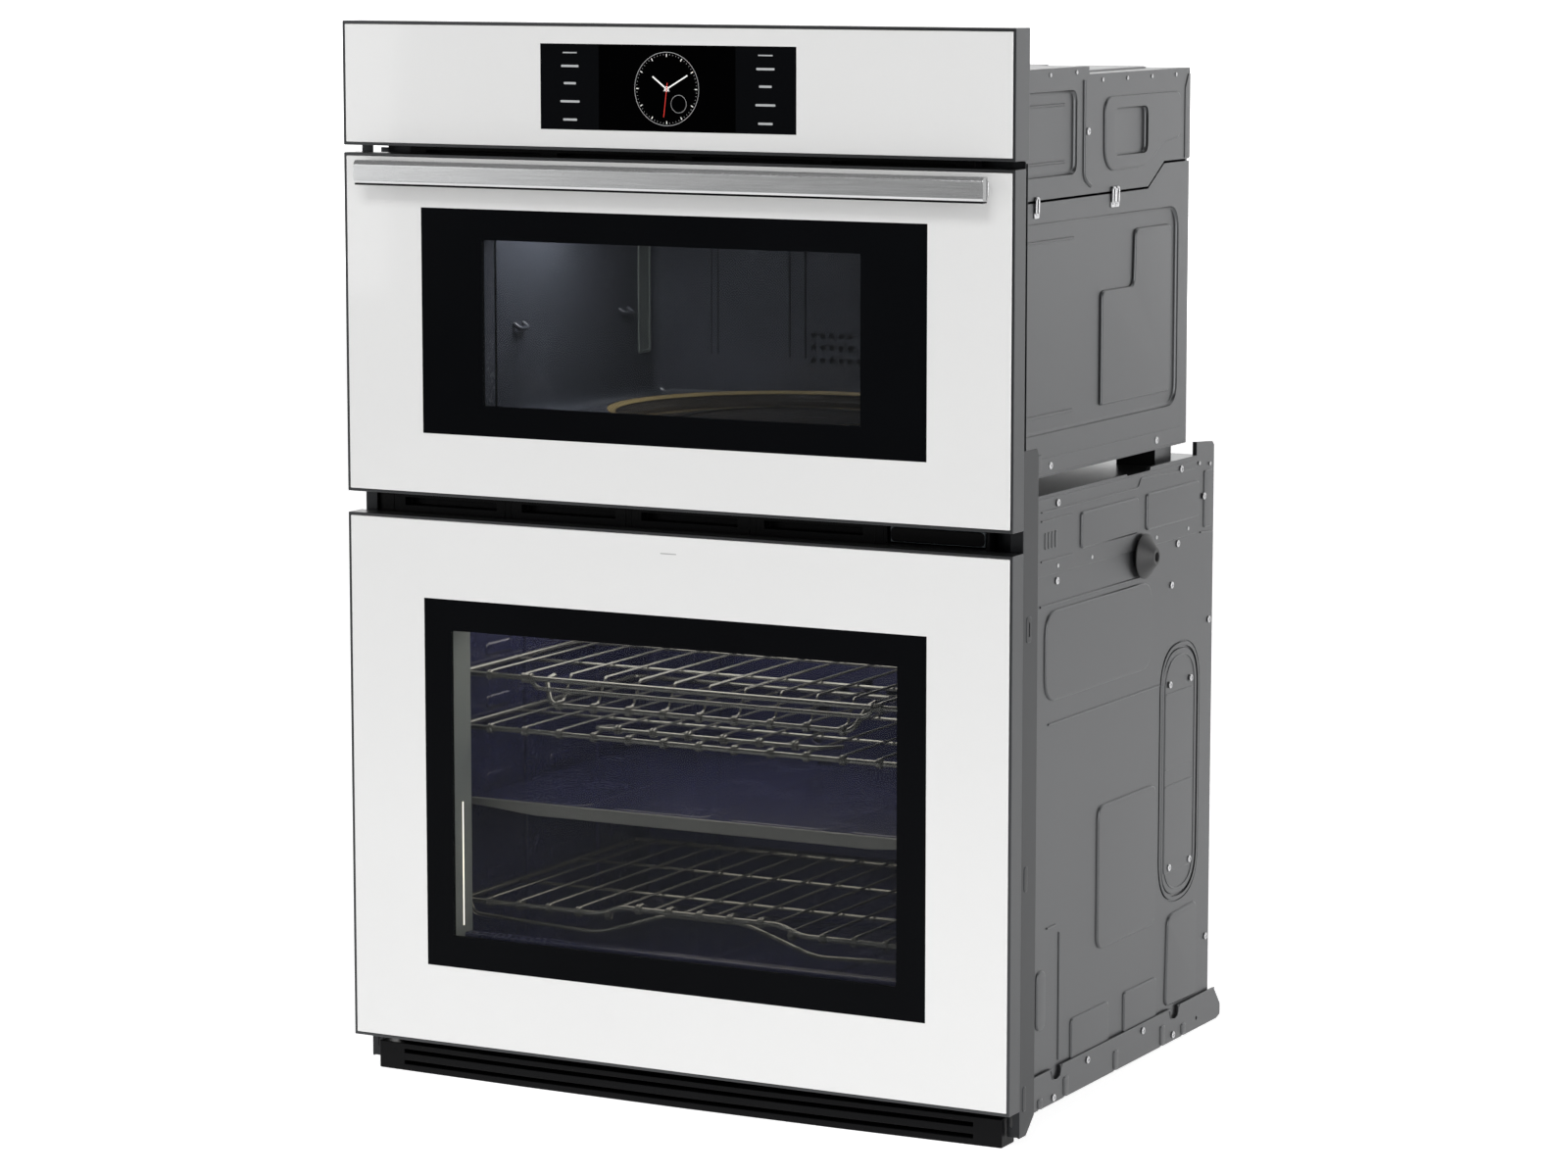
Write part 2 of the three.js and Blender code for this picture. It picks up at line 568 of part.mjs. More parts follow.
// ---- control panel and reservoir ----
function addControlPanel() {
  const [z0, z1] = panelZ;
  const body = block(span(halfWidth), [0.5, panelDepth], panelZ);
  const rebate = block(span(halfWidth - edgeWidth), [-1, glassDepth + gap], inset(panelZ, edgeWidth));
  const hollow = block(span(halfWidth - edgeWidth - 3), [-1, panelDepth + 1],
    [z0 + edgeWidth + 3, z1 - edgeWidth - 3]);
  const tab = block([290, halfWidth - 20], [panelDepth - 1.5, frontPlateY[0] - gap], [940, 990]);
  const web = block([290, halfWidth - 4], [panelDepth - 1.5, panelDepth], [940, 990]);
  add('control_panel_frame', join(cut(body, rebate, hollow), web, tab, mirrored(web),
    mirrored(tab)), 'edgeMetal');
  add('control_panel_glass', frontGlass(panelZ), 'whiteGlass');
  add('display_module', block(span(150), [glassDepth + gap, 20], [944, 1041]), 'blackPlastic');

  const tankX = inset(reservoirX, 6);
  const shell = block(reservoirX, [34, 262], reservoirZ);
  const bay = block(inset(reservoirX, 2.5), [30, 258], inset(reservoirZ, 2.5));
  add('reservoir_housing', cut(shell, bay), 'blackPlastic');
  const tank = block(tankX, [36.5, 250], [553.3, 568.5]);
  const water = block([tankX[0] + 2, tankX[1] - 2], [44, 248], [555.3, 580]);
  add('reservoir_tray', cut(tank, water), 'tankPlastic');
}

addLowerCasing();
addFront();
addLowerOven();
addRacks();
addHinges('lower_hinge', lowerDoorZ[0]);
addHinges('upper_hinge', upperDoorZ[0]);
addLowerDoor();
addUpperDoor();
addUpperCasing();
addMicrowave();
addConvectionFan();
addControlPanel();

export default wallOven;
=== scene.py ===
# Looks of the built-in wall oven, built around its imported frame.
import json
import math

import bpy
from mathutils import Matrix, Vector

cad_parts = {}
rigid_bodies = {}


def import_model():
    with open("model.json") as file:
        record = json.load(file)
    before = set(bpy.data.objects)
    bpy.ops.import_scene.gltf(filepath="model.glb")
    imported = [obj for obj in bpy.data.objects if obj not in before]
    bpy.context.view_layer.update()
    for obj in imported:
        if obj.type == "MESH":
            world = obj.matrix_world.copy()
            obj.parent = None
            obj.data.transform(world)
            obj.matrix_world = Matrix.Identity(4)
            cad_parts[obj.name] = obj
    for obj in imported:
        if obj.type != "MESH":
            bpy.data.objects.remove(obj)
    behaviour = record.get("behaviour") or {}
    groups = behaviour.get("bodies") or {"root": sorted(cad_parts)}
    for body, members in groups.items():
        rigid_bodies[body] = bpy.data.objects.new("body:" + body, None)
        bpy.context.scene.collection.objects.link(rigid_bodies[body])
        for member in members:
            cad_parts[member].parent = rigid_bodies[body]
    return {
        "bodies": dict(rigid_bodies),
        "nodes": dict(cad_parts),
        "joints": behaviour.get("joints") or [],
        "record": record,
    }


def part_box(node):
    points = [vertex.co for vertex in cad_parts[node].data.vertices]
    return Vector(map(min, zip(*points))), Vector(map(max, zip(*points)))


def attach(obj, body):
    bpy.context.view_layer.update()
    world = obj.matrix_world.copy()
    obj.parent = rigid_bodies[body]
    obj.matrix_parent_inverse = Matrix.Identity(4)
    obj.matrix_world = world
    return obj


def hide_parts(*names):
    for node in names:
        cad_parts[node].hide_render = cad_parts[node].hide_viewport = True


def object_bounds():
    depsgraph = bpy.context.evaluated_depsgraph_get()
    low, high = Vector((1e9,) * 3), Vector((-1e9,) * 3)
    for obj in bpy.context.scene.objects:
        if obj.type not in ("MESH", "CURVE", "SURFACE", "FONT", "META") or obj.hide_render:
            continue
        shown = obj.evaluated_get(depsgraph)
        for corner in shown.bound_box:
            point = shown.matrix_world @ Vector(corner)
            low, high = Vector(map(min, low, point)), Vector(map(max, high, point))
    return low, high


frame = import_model()
cadLow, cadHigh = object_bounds()
nodes = frame["nodes"]

mm = 0.001
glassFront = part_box("lower_door_outer_glass")[0].y  # plane of the front glass
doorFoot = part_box("lower_door_frame")[0].z  # lower door's bottom edge
turnedUp = {"x": Matrix(((0, 0, 1), (1, 0, 0), (0, 1, 0))), "y": Matrix(((1, 0, 0), (0, 0, -1), (0, 1, 0)))}


def spot(x, y, z):
    # millimetres from the middle of the lower door's bottom front edge
    return Vector((x * mm, glassFront + y * mm, doorFoot + z * mm))


# ---- working habits: pick, apply, join ----
def clearPick():
    bpy.ops.object.select_all(action="DESELECT")


def pickOnly(piece):
    clearPick()
    piece.select_set(True)
    bpy.context.view_layer.objects.active = piece


def applyPlace(piece):
    pickOnly(piece)
    bpy.ops.object.transform_apply(location=True, rotation=True, scale=True)
    return piece


def applyStep(piece, kind, **settings):
    step = piece.modifiers.new(kind.lower(), kind)
    for key, value in settings.items():
        setattr(step, key, value)
    pickOnly(piece)
    bpy.ops.object.modifier_apply(modifier=step.name)
    return piece


def roundEdges(piece, width, segments=2, angle=35):
    return applyStep(piece, "BEVEL", width=width * mm, segments=segments, limit_method="ANGLE",
                     angle_limit=math.radians(angle), harden_normals=False)


def carve(piece, tool, operation="DIFFERENCE"):
    applyStep(piece, "BOOLEAN", operation=operation, object=tool, solver="EXACT")
    bpy.data.objects.remove(tool)
    return piece


def pickFaces(piece, test):
    # leaves the piece in edit mode with the faces that pass the test picked
    pickOnly(piece)
    bpy.ops.object.mode_set(mode="EDIT")
    bpy.ops.mesh.select_mode(type="FACE")
    bpy.ops.mesh.select_all(action="DESELECT")
    bpy.ops.object.mode_set(mode="OBJECT")
    for face in piece.data.polygons:
        face.select = test(face)
    bpy.ops.object.mode_set(mode="EDIT")


def editAll():
    bpy.ops.object.mode_set(mode="EDIT")
    bpy.ops.mesh.select_all(action="SELECT")


def doneEditing():
    bpy.ops.object.mode_set(mode="OBJECT")


def together(parts):
    clearPick()
    for part in parts:
        part.select_set(True)
    bpy.context.view_layer.objects.active = parts[0]
    bpy.ops.object.join()
    return parts[0]


def copyOf(piece):
    # a copy with its own mesh
    twin = piece.copy()
    twin.data = piece.data.copy()
    bpy.context.scene.collection.objects.link(twin)
    return twin


def mirroredCopy(piece):
    twin = copyOf(piece)
    twin.scale = (-1, 1, 1)
    applyPlace(twin)
    editAll()
    bpy.ops.mesh.normals_make_consistent(inside=False)
    doneEditing()
    return twin


def settle(piece, name, body, material, slotName, *stoodFor):
    # last step of a piece: its name, finish, shading, body and the nodes it stands for
    piece.name = name
    piece.data.name = name
    piece.data.materials.clear()
    piece.data.materials.append(material)
    pickOnly(piece)
    bpy.ops.object.shade_smooth_by_angle(angle=math.radians(50))
    applyStep(piece, "WEIGHTED_NORMAL", keep_sharp=True, weight=80)
    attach(piece, body)
    if stoodFor:
        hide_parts(*stoodFor)
    return piece


def settlePair(side, name, look, slotName, node):
    # a right-hand piece of the casing and its mirrored twin
    settle(mirroredCopy(side), name + "Left", "carcass", finish[look], slotName, node + "_left")
    settle(side, name + "Right", "carcass", finish[look], slotName, node + "_right")


def settleSheet(parts, name, node):
    return settle(together(parts), name, "carcass", finish["galvanised"], "galvanised", node)


# ---- basic stock ----
def slab(low, high):
    lowCorner, highCorner = spot(*low), spot(*high)
    bpy.ops.mesh.primitive_cube_add(size=1, location=(lowCorner + highCorner) / 2)
    piece = bpy.context.object
    piece.scale = highCorner - lowCorner
    return applyPlace(piece)


def roundBar(start, end, radius, sides=16):
    a, b = spot(*start), spot(*end)
    bpy.ops.mesh.primitive_cylinder_add(vertices=sides, radius=radius * mm, depth=(b - a).length)
    piece = bpy.context.object
    piece.rotation_mode = "QUATERNION"
    piece.rotation_quaternion = (b - a).to_track_quat("Z", "Y")
    piece.location = (a + b) / 2
    return applyPlace(piece)


def softCorners(points, radius, closed, steps=5):
    # each corner becomes a short arc
    if radius == 0:
        return [Vector(p) for p in points]
    result = []
    count = len(points)
    for i, corner in enumerate(points):
        corner = Vector(corner)
        if not closed and i in (0, count - 1):
            result.append(corner)
            continue
        before, after = Vector(points[i - 1]), Vector(points[(i + 1) % count])
        reach = min(radius, (before - corner).length / 2.01, (after - corner).length / 2.01)
        start = corner + (before - corner).normalized() * reach
        end = corner + (after - corner).normalized() * reach
        for k in range(steps + 1):
            t = k / steps
            result.append(start * (1 - t) ** 2 + corner * 2 * t * (1 - t) + end * t ** 2)
    return result


def lineCurve(points, flat, closed):
    curve = bpy.data.curves.new("line", "CURVE")
    curve.dimensions = "2D" if flat else "3D"
    line = curve.splines.new("POLY")
    line.points.add(len(points) - 1)
    for knot, place in zip(line.points, points):
        knot.co = (place[0], place[1], 0 if flat else place[2], 1)
    line.use_cyclic_u = closed
    piece = bpy.data.objects.new("line", curve)
    bpy.context.scene.collection.objects.link(piece)
    return piece


def toMesh(piece):
    pickOnly(piece)
    bpy.ops.object.convert(target="MESH")
    return bpy.context.object


def bentRod(points, radius, bend=8, closed=False, fineness=2):
    route = [spot(*p) for p in softCorners(points, bend, closed)]
    piece = lineCurve(route, False, closed)
    piece.data.bevel_depth = radius * mm
    piece.data.bevel_resolution = fineness
    piece.data.use_fill_caps = not closed
    return toMesh(piece)


def plate(outline, facing, level, thick, corner=4, edge=0.0, closedSteps=5):
    # a flat plate of that outline, with soft corners and rolled edges; level is its middle plane
    rounded = softCorners([Vector(p) for p in outline], corner, True, closedSteps)
    points = [Vector((a, b)) * mm for a, b in rounded]
    piece = lineCurve(points, True, True)
    piece.data.fill_mode = "BOTH"
    piece.data.extrude = (thick / 2 - edge) * mm
    piece.data.bevel_depth = edge * mm
    piece.data.bevel_resolution = 1
    piece.data.offset = -edge * mm
    piece = toMesh(piece)
    centre = {"x": (level, 0, 0), "y": (0, level, 0), "z": (0, 0, level)}[facing]
    if facing in turnedUp:
        piece.data.transform(turnedUp[facing].to_4x4())
    piece.data.transform(Matrix.Translation(spot(*centre)))
    editAll()
    bpy.ops.mesh.remove_doubles(threshold=0.00001)
    bpy.ops.mesh.normals_make_consistent(inside=False)
    doneEditing()
    return piece


def box2(low, high):
    return [(low[0], low[1]), (high[0], low[1]), (high[0], high[1]), (low[0], high[1])]


# ---- finishes ----
def newFinish(name, colour, rough, metal=0.0, **sockets):
    material = bpy.data.materials.new(name)
    material.use_nodes = True
    shader = material.node_tree.nodes["Principled BSDF"]
    shader.inputs["Base Color"].default_value = (*colour, 1)
    shader.inputs["Roughness"].default_value = rough
    shader.inputs["Metallic"].default_value = metal
    for key, value in sockets.items():
        shader.inputs[key.replace("_", " ")].default_value = value
    return material


def addNode(material, kind, **settings):
    node = material.node_tree.nodes.new(kind)
    for key, value in settings.items():
        if key in node.inputs:
            node.inputs[key].default_value = value
        else:
            setattr(node, key, value)
    return node


def wire(material, source, target):
    material.node_tree.links.new(source, target)


def stretched(material, scale):
    # object coordinates, stretched so that a noise turns into streaks
    place = addNode(material, "ShaderNodeTexCoord")
    mapping = addNode(material, "ShaderNodeMapping")
    mapping.inputs["Scale"].default_value = scale
    wire(material, place.outputs["Object"], mapping.inputs["Vector"])
    return mapping.outputs["Vector"]


def grain(material, look):
    # colour drift, roughness drift and bump from two noises
    shader = material.node_tree.nodes["Principled BSDF"]
    where = stretched(material, look.get("stretch", (1, 1, 1)))
    broad = addNode(material, "ShaderNodeTexNoise", Scale=look["broad"], Detail=3.0)
    fine = addNode(material, "ShaderNodeTexNoise", Scale=look["fine"], Detail=4.0)
    for noise in (broad, fine):
        wire(material, where, noise.inputs["Vector"])
    base = shader.inputs["Base Color"].default_value[:3]
    low = [c * (1 - look["drift"]) for c in base]
    high = [min(1, c * (1 + look["drift"])) for c in base]
    tint = addNode(material, "ShaderNodeValToRGB")
    tint.color_ramp.elements[0].position = 0.3
    tint.color_ramp.elements[0].color = (*low, 1)
    tint.color_ramp.elements[1].position = 0.7
    tint.color_ramp.elements[1].color = (*high, 1)
    blend = addNode(material, "ShaderNodeMath", operation="MULTIPLY_ADD")
    blend.inputs[1].default_value = look.get("fineShare", 0.5)
    wire(material, fine.outputs["Fac"], blend.inputs[0])
    half = addNode(material, "ShaderNodeMath", operation="MULTIPLY")
    half.inputs[1].default_value = 1 - look.get("fineShare", 0.5)
    wire(material, broad.outputs["Fac"], half.inputs[0])
    wire(material, half.outputs[0], blend.inputs[2])
    wire(material, blend.outputs[0], tint.inputs["Fac"])
    wire(material, tint.outputs["Color"], shader.inputs["Base Color"])
    rough = shader.inputs["Roughness"].default_value
    spread = addNode(material, "ShaderNodeMapRange")
    spread.inputs["To Min"].default_value = max(0.02, rough - look["roughDrift"])
    spread.inputs["To Max"].default_value = min(1, rough + look["roughDrift"])
    wire(material, blend.outputs[0], spread.inputs["Value"])
    wire(material, spread.outputs["Result"], shader.inputs["Roughness"])
    bump = addNode(material, "ShaderNodeBump", Strength=look["bump"], Distance=look.get("deep", 0.0003))
    wire(material, fine.outputs["Fac"], bump.inputs["Height"])
    wire(material, bump.outputs["Normal"], shader.inputs["Normal"])
    return material


def whiteGlassFinish():
    material = newFinish("whiteGlass", (0.80, 0.80, 0.795), 0.22, Coat_Weight=0.5, Coat_Roughness=0.04)
    return grain(material, {"broad": 3, "fine": 900, "drift": 0.012, "roughDrift": 0.03, "bump": 0.02})


def blackGlassFinish():
    material = newFinish("blackGlass", (0.0030, 0.0033, 0.004), 0.1, Specular_IOR_Level=0.02)
    return grain(material, {"broad": 6, "fine": 600, "drift": 0.2, "roughDrift": 0.03, "bump": 0.01})


def screenBlackFinish():
    material = newFinish("screenBlack", (0.0004, 0.0004, 0.0005), 0.1, Specular_IOR_Level=0.01)
    return grain(material, {"broad": 15, "fine": 400, "drift": 0.2, "roughDrift": 0.05, "bump": 0.005})


def tintedPaneFinish(name, tone, alpha):
    material = newFinish(name, tone, 0.04, Alpha=alpha, Specular_IOR_Level=0.12)
    return grain(material, {"broad": 9, "fine": 300, "drift": 0.15, "roughDrift": 0.015, "bump": 0.008})


def screenMeshFinish():
    # microwave screen: dark sheet with rows of small holes
    material = newFinish("screenMesh", (0.012, 0.013, 0.014), 0.45, metal=0.6)
    shader = material.node_tree.nodes["Principled BSDF"]
    place = addNode(material, "ShaderNodeTexCoord")
    split = addNode(material, "ShaderNodeSeparateXYZ")
    wire(material, place.outputs["Object"], split.inputs[0])
    waves = []
    for axis in ("X", "Z"):
        turn = addNode(material, "ShaderNodeMath", operation="MULTIPLY")
        turn.inputs[1].default_value = 2 * math.pi / 0.0032
        wire(material, split.outputs[axis], turn.inputs[0])
        wave = addNode(material, "ShaderNodeMath", operation="SINE")
        wire(material, turn.outputs[0], wave.inputs[0])
        waves.append(wave)
    total = addNode(material, "ShaderNodeMath", operation="MULTIPLY")
    wire(material, waves[0].outputs[0], total.inputs[0])
    wire(material, waves[1].outputs[0], total.inputs[1])
    openness = addNode(material, "ShaderNodeMapRange")
    openness.inputs["From Min"].default_value = -0.15
    openness.inputs["From Max"].default_value = 0.25
    openness.inputs["To Min"].default_value = 0.3
    openness.inputs["To Max"].default_value = 0.02
    wire(material, total.outputs[0], openness.inputs["Value"])
    wire(material, openness.outputs["Result"], shader.inputs["Alpha"])
    return material


def edgeMetalFinish():
    material = newFinish("edgeMetal", (0.055, 0.0565, 0.059), 0.3, metal=0.85)
    return grain(material, {"broad": 20, "fine": 700, "stretch": (1, 1, 6), "drift": 0.06,
                            "roughDrift": 0.06, "bump": 0.05})


def brushedBarFinish():
    material = newFinish("brushedBar", (0.60, 0.605, 0.61), 0.24, metal=1.0, Anisotropic=0.5)
    return grain(material, {"broad": 14, "fine": 900, "stretch": (0.02, 1, 1), "drift": 0.09,
                            "roughDrift": 0.07, "bump": 0.12, "fineShare": 0.7})


def galvanisedFinish():
    material = newFinish("galvanised", (0.078, 0.0797, 0.0823), 0.31, metal=0.93)
    return grain(material, {"broad": 5, "fine": 1100, "drift": 0.07, "roughDrift": 0.07, "bump": 0.1,
                            "fineShare": 0.65})


def trimSteelFinish():
    material = newFinish("trimSteel", (0.024, 0.025, 0.027), 0.34, metal=0.85)
    return grain(material, {"broad": 6, "fine": 900, "drift": 0.07, "roughDrift": 0.06, "bump": 0.06})


def blackMouldFinish():
    material = newFinish("blackMould", (0.0025, 0.0025, 0.003), 0.38, Specular_IOR_Level=0.09)
    return grain(material, {"broad": 12, "fine": 1400, "drift": 0.2, "roughDrift": 0.1, "bump": 0.18})


def rubberFinish():
    material = newFinish("rubber", (0.01, 0.01, 0.0105), 0.5)
    return grain(material, {"broad": 30, "fine": 1500, "drift": 0.25, "roughDrift": 0.1, "bump": 0.2})


def enamelFinish(name, colour, speck):
    # vitreous enamel with fine pale specks
    material = newFinish(name, colour, 0.26, Coat_Weight=0.3, Coat_Roughness=0.1)
    grain(material, {"broad": 8, "fine": 260, "drift": 0.25, "roughDrift": 0.08, "bump": 0.12})
    shader = material.node_tree.nodes["Principled BSDF"]
    cells = addNode(material, "ShaderNodeTexVoronoi", Scale=420.0)
    wire(material, stretched(material, (1, 1, 1)), cells.inputs["Vector"])
    dots = addNode(material, "ShaderNodeMapRange")
    dots.inputs["From Min"].default_value = 0.1
    dots.inputs["From Max"].default_value = 0.16
    dots.inputs["To Min"].default_value = 0.55
    dots.inputs["To Max"].default_value = 0.0
    wire(material, cells.outputs["Distance"], dots.inputs["Value"])
    mix = addNode(material, "ShaderNodeMix", data_type="RGBA")
    before = shader.inputs["Base Color"].links[0].from_socket
    wire(material, dots.outputs["Result"], mix.inputs["Factor"])
    wire(material, before, mix.inputs[6])
    mix.inputs[7].default_value = (*speck, 1)
    wire(material, mix.outputs[2], shader.inputs["Base Color"])
    return material


def chromeFinish():
    material = newFinish("chromeWire", (0.30, 0.305, 0.285), 0.24, metal=0.75)
    return grain(material, {"broad": 30, "fine": 500, "drift": 0.12, "roughDrift": 0.08, "bump": 0.05})


def plainFinish(name, colour, rough, metal, fine=600, drift=0.12, bump=0.12):
    material = newFinish(name, colour, rough, metal)
    return grain(material, {"broad": 15, "fine": fine, "drift": drift, "roughDrift": 0.08, "bump": bump})


def glowFinish(name, colour, strength):
    material = newFinish(name, colour, 0.4)
    shader = material.node_tree.nodes["Principled BSDF"]
    shader.inputs["Emission Color"].default_value = (*colour, 1)
    shader.inputs["Emission Strength"].default_value = strength
    return grain(material, {"broad": 40, "fine": 300, "drift": 0.08, "roughDrift": 0.05, "bump": 0.02})


finish = {
    "whiteGlass": whiteGlassFinish(),
    "blackGlass": blackGlassFinish(),
    "ovenPane": tintedPaneFinish("ovenPane", (0.010, 0.011, 0.012), 0.26),
    "innerPane": tintedPaneFinish("innerPane", (0.02, 0.022, 0.024), 0.1),
    "screenMesh": screenMeshFinish(),
    "screenBlack": screenBlackFinish(),
    "edgeMetal": edgeMetalFinish(),
    "brushedBar": brushedBarFinish(),
    "galvanised": galvanisedFinish(),
    "trimSteel": trimSteelFinish(),
    "blackMould": blackMouldFinish(),
    "rubber": rubberFinish(),
    "navyEnamel": enamelFinish("navyEnamel", (0.022, 0.024, 0.07), (0.10, 0.10, 0.18)),
    "greyEnamel": enamelFinish("greyEnamel", (0.085, 0.09, 0.108), (0.14, 0.15, 0.17)),
    "dividerEnamel": plainFinish("dividerEnamel", (0.28, 0.285, 0.265), 0.4, 0.2),
    "chromeWire": chromeFinish(),
    "heater": plainFinish("heater", (0.06, 0.055, 0.05), 0.55, 0.5),
    "cast": plainFinish("cast", (0.42, 0.43, 0.44), 0.45, 0.8, fine=350, bump=0.3),
    "fibre": plainFinish("fibre", (0.62, 0.56, 0.38), 0.95, 0.0, fine=220, drift=0.25, bump=0.8),
    "braid": plainFinish("braid", (0.05, 0.052, 0.056), 0.85, 0.0, fine=900, drift=0.3, bump=0.8),
    "board": plainFinish("board", (0.02, 0.09, 0.05), 0.5, 0.0, fine=250, drift=0.3),
    "tank": plainFinish("tank", (0.20, 0.23, 0.25), 0.2, 0.0),
    "clockWhite": glowFinish("clockWhite", (0.80, 0.80, 0.78), 0.35),
    "clockRed": glowFinish("clockRed", (0.65, 0.03, 0.02), 0.5),
    "lipSteel": plainFinish("lipSteel", (0.33, 0.36, 0.335), 0.35, 0.25, fine=500, drift=0.08),
    "keyMark": glowFinish("keyMark", (0.42, 0.43, 0.44), 0.12),
    "softMark": plainFinish("softMark", (0.42, 0.42, 0.42), 0.4, 0.0),
    "lampGlass": glowFinish("lampGlass", (1.0, 0.93, 0.78), 2.2),
    "screwZinc": plainFinish("screwZinc", (0.5, 0.5, 0.51), 0.3, 0.9),
    "platterGlass": tintedPaneFinish("platterGlass", (0.05, 0.04, 0.028), 0.7),
    "platterRim": plainFinish("platterRim", (0.50, 0.37, 0.16), 0.3, 0.3),
}


# ---- camera, lights and floor ----
view = {"place": (2293.29, -4097.6, 1156.37), "pitch": 82.002, "turn": 27.826, "lens": 109.13}


def makeCamera():
    bpy.ops.object.camera_add(location=spot(*view["place"]),
                              rotation=(math.radians(view["pitch"]), 0, math.radians(view["turn"])))
    camera = bpy.context.object
    camera.data.lens = view["lens"]
    camera.data.sensor_width = 36
    camera.data.clip_end = 60
    bpy.context.scene.camera = camera


studio = {
    "room": (1.0, 1.0, 1.0), "roomStrength": 0.20,
    "floor": 0.85, "floorLift": 0.80, "floorSize": 44, "sweepAt": 9, "sweepRadius": 3, "sweepHeight": 10,
    "fadeAlong": (-3.4, -1.3), "fadeTo": 0.22,
    "lights": [
        {"place": (-4.5, -4.1, 1.9), "aim": (0, 0, 0.55), "size": (3.2, 3.2), "power": 60},
        {"place": (0.2, -3.9, 4.5), "aim": (0, 0, 0.5), "size": (3.0, 1.4), "power": 84},
        {"place": (3.6, -1.0, 1.0), "aim": (0.3, 0, 0.5), "size": (2.4, 2.6), "power": 78},
        {"place": (0.4, 1.0, 4.0), "aim": (0, 0.1, 0.5), "size": (3.0, 3.0), "power": 30},
    ],
    "ovenLamps": [
        {"place": (-60, 230, 484), "size": 0.42, "power": 2.1, "tint": (1.0, 0.95, 0.88)},
        {"place": (-40, 200, 236), "size": 0.3, "power": 0.45, "tint": (1.0, 0.93, 0.82)},
        {"place": (-160, 150, 874), "size": 0.16, "power": 1.2, "tint": (0.92, 0.96, 1.0)},
    ],
}


def makeStudio():
    world = bpy.data.worlds.new("studio")
    world.use_nodes = True
    world.node_tree.nodes["Background"].inputs["Color"].default_value = (*studio["room"], 1)
    world.node_tree.nodes["Background"].inputs["Strength"].default_value = studio["roomStrength"]
    bpy.context.scene.world = world
    for light in studio["lights"]:
        bpy.ops.object.light_add(type="AREA", location=light["place"])
        lamp = bpy.context.object
        lamp.data.shape = "RECTANGLE"
        lamp.data.size, lamp.data.size_y = light["size"]
        lamp.data.energy = light["power"]
        sight = Vector(light["aim"]) - Vector(light["place"])
        lamp.rotation_euler = sight.to_track_quat("-Z", "Y").to_euler()
    # floor that sweeps up behind the oven
    reach, bend, top = studio["sweepAt"], studio["sweepRadius"], studio["sweepHeight"]
    wide = studio["floorSize"]
    bpy.ops.mesh.primitive_plane_add(size=wide, location=(0, reach - wide / 2, cadLow.z - 0.0005))
    floor = applyPlace(bpy.context.object)
    bpy.ops.object.mode_set(mode="EDIT")
    bpy.ops.mesh.select_mode(type="EDGE")
    bpy.ops.mesh.select_all(action="DESELECT")
    bpy.ops.object.mode_set(mode="OBJECT")
    for edge in floor.data.edges:
        edge.select = all(floor.data.vertices[v].co.y > reach - 0.1 for v in edge.vertices)
    bpy.ops.object.mode_set(mode="EDIT")
    bpy.ops.mesh.spin(steps=16, angle=math.radians(90), center=(0, reach, bend), axis=(1, 0, 0))
    bpy.ops.mesh.extrude_region_move(TRANSFORM_OT_translate={"value": (0, 0, top)})
    bpy.ops.mesh.select_all(action="SELECT")
    bpy.ops.mesh.remove_doubles(threshold=0.0001)
    bpy.ops.mesh.normals_make_consistent(inside=True)
    doneEditing()
    floor.name = "floor"
    paper = plainFinish("paleFloor", (studio["floor"],) * 3, 0.8, 0.0, fine=60, drift=0.01, bump=0.02)
    shader = paper.node_tree.nodes["Principled BSDF"]
    shader.inputs["Emission Color"].default_value = (1, 1, 1, 1)
    # the floor's own light fades out well in front of the oven
    place = addNode(paper, "ShaderNodeTexCoord")
    split = addNode(paper, "ShaderNodeSeparateXYZ")
    fade = addNode(paper, "ShaderNodeMapRange")
    fade.inputs["From Min"].default_value, fade.inputs["From Max"].default_value = studio["fadeAlong"]
    fade.inputs["To Min"].default_value = studio["floorLift"] * studio["fadeTo"]
    fade.inputs["To Max"].default_value = studio["floorLift"]
    wire(paper, place.outputs["Object"], split.inputs[0])
    wire(paper, split.outputs["Y"], fade.inputs["Value"])
    wire(paper, fade.outputs["Result"], shader.inputs["Emission Strength"])
    floor.data.materials.append(paper)
    bpy.ops.object.shade_smooth()
    for light in studio["ovenLamps"]:
        bpy.ops.object.light_add(type="AREA", location=spot(*light["place"]))
        lamp = bpy.context.object
        lamp.data.size = light["size"]
        lamp.data.energy = light["power"]
        lamp.data.color = light["tint"]
    bpy.context.scene.view_settings.view_transform = "Standard"


makeCamera()
makeStudio()
print("camera and studio ready")


# ---- stock that is turned, copied from the frame, or repeated ----
def turned(profile, start, along, steps=48):
    # profile holds (distance along the axis, radius); spun once round the axis through start
    axis = {"x": Vector((1, 0, 0)), "y": Vector((0, 1, 0)), "z": Vector((0, 0, 1))}[along]
    side = {"x": Vector((0, 0, 1)), "y": Vector((0, 0, 1)), "z": Vector((1, 0, 0))}[along]
    centre = spot(*start)
    route = [centre + axis * (d * mm) + side * (r * mm) for d, r in profile]
    piece = toMesh(lineCurve(route, False, False))
    editAll()
    bpy.ops.mesh.spin(steps=steps, angle=2 * math.pi, center=centre, axis=axis)
    bpy.ops.mesh.select_all(action="SELECT")
    bpy.ops.mesh.remove_doubles(threshold=0.00002)
    bpy.ops.mesh.normals_make_consistent(inside=False)
    doneEditing()
    return piece


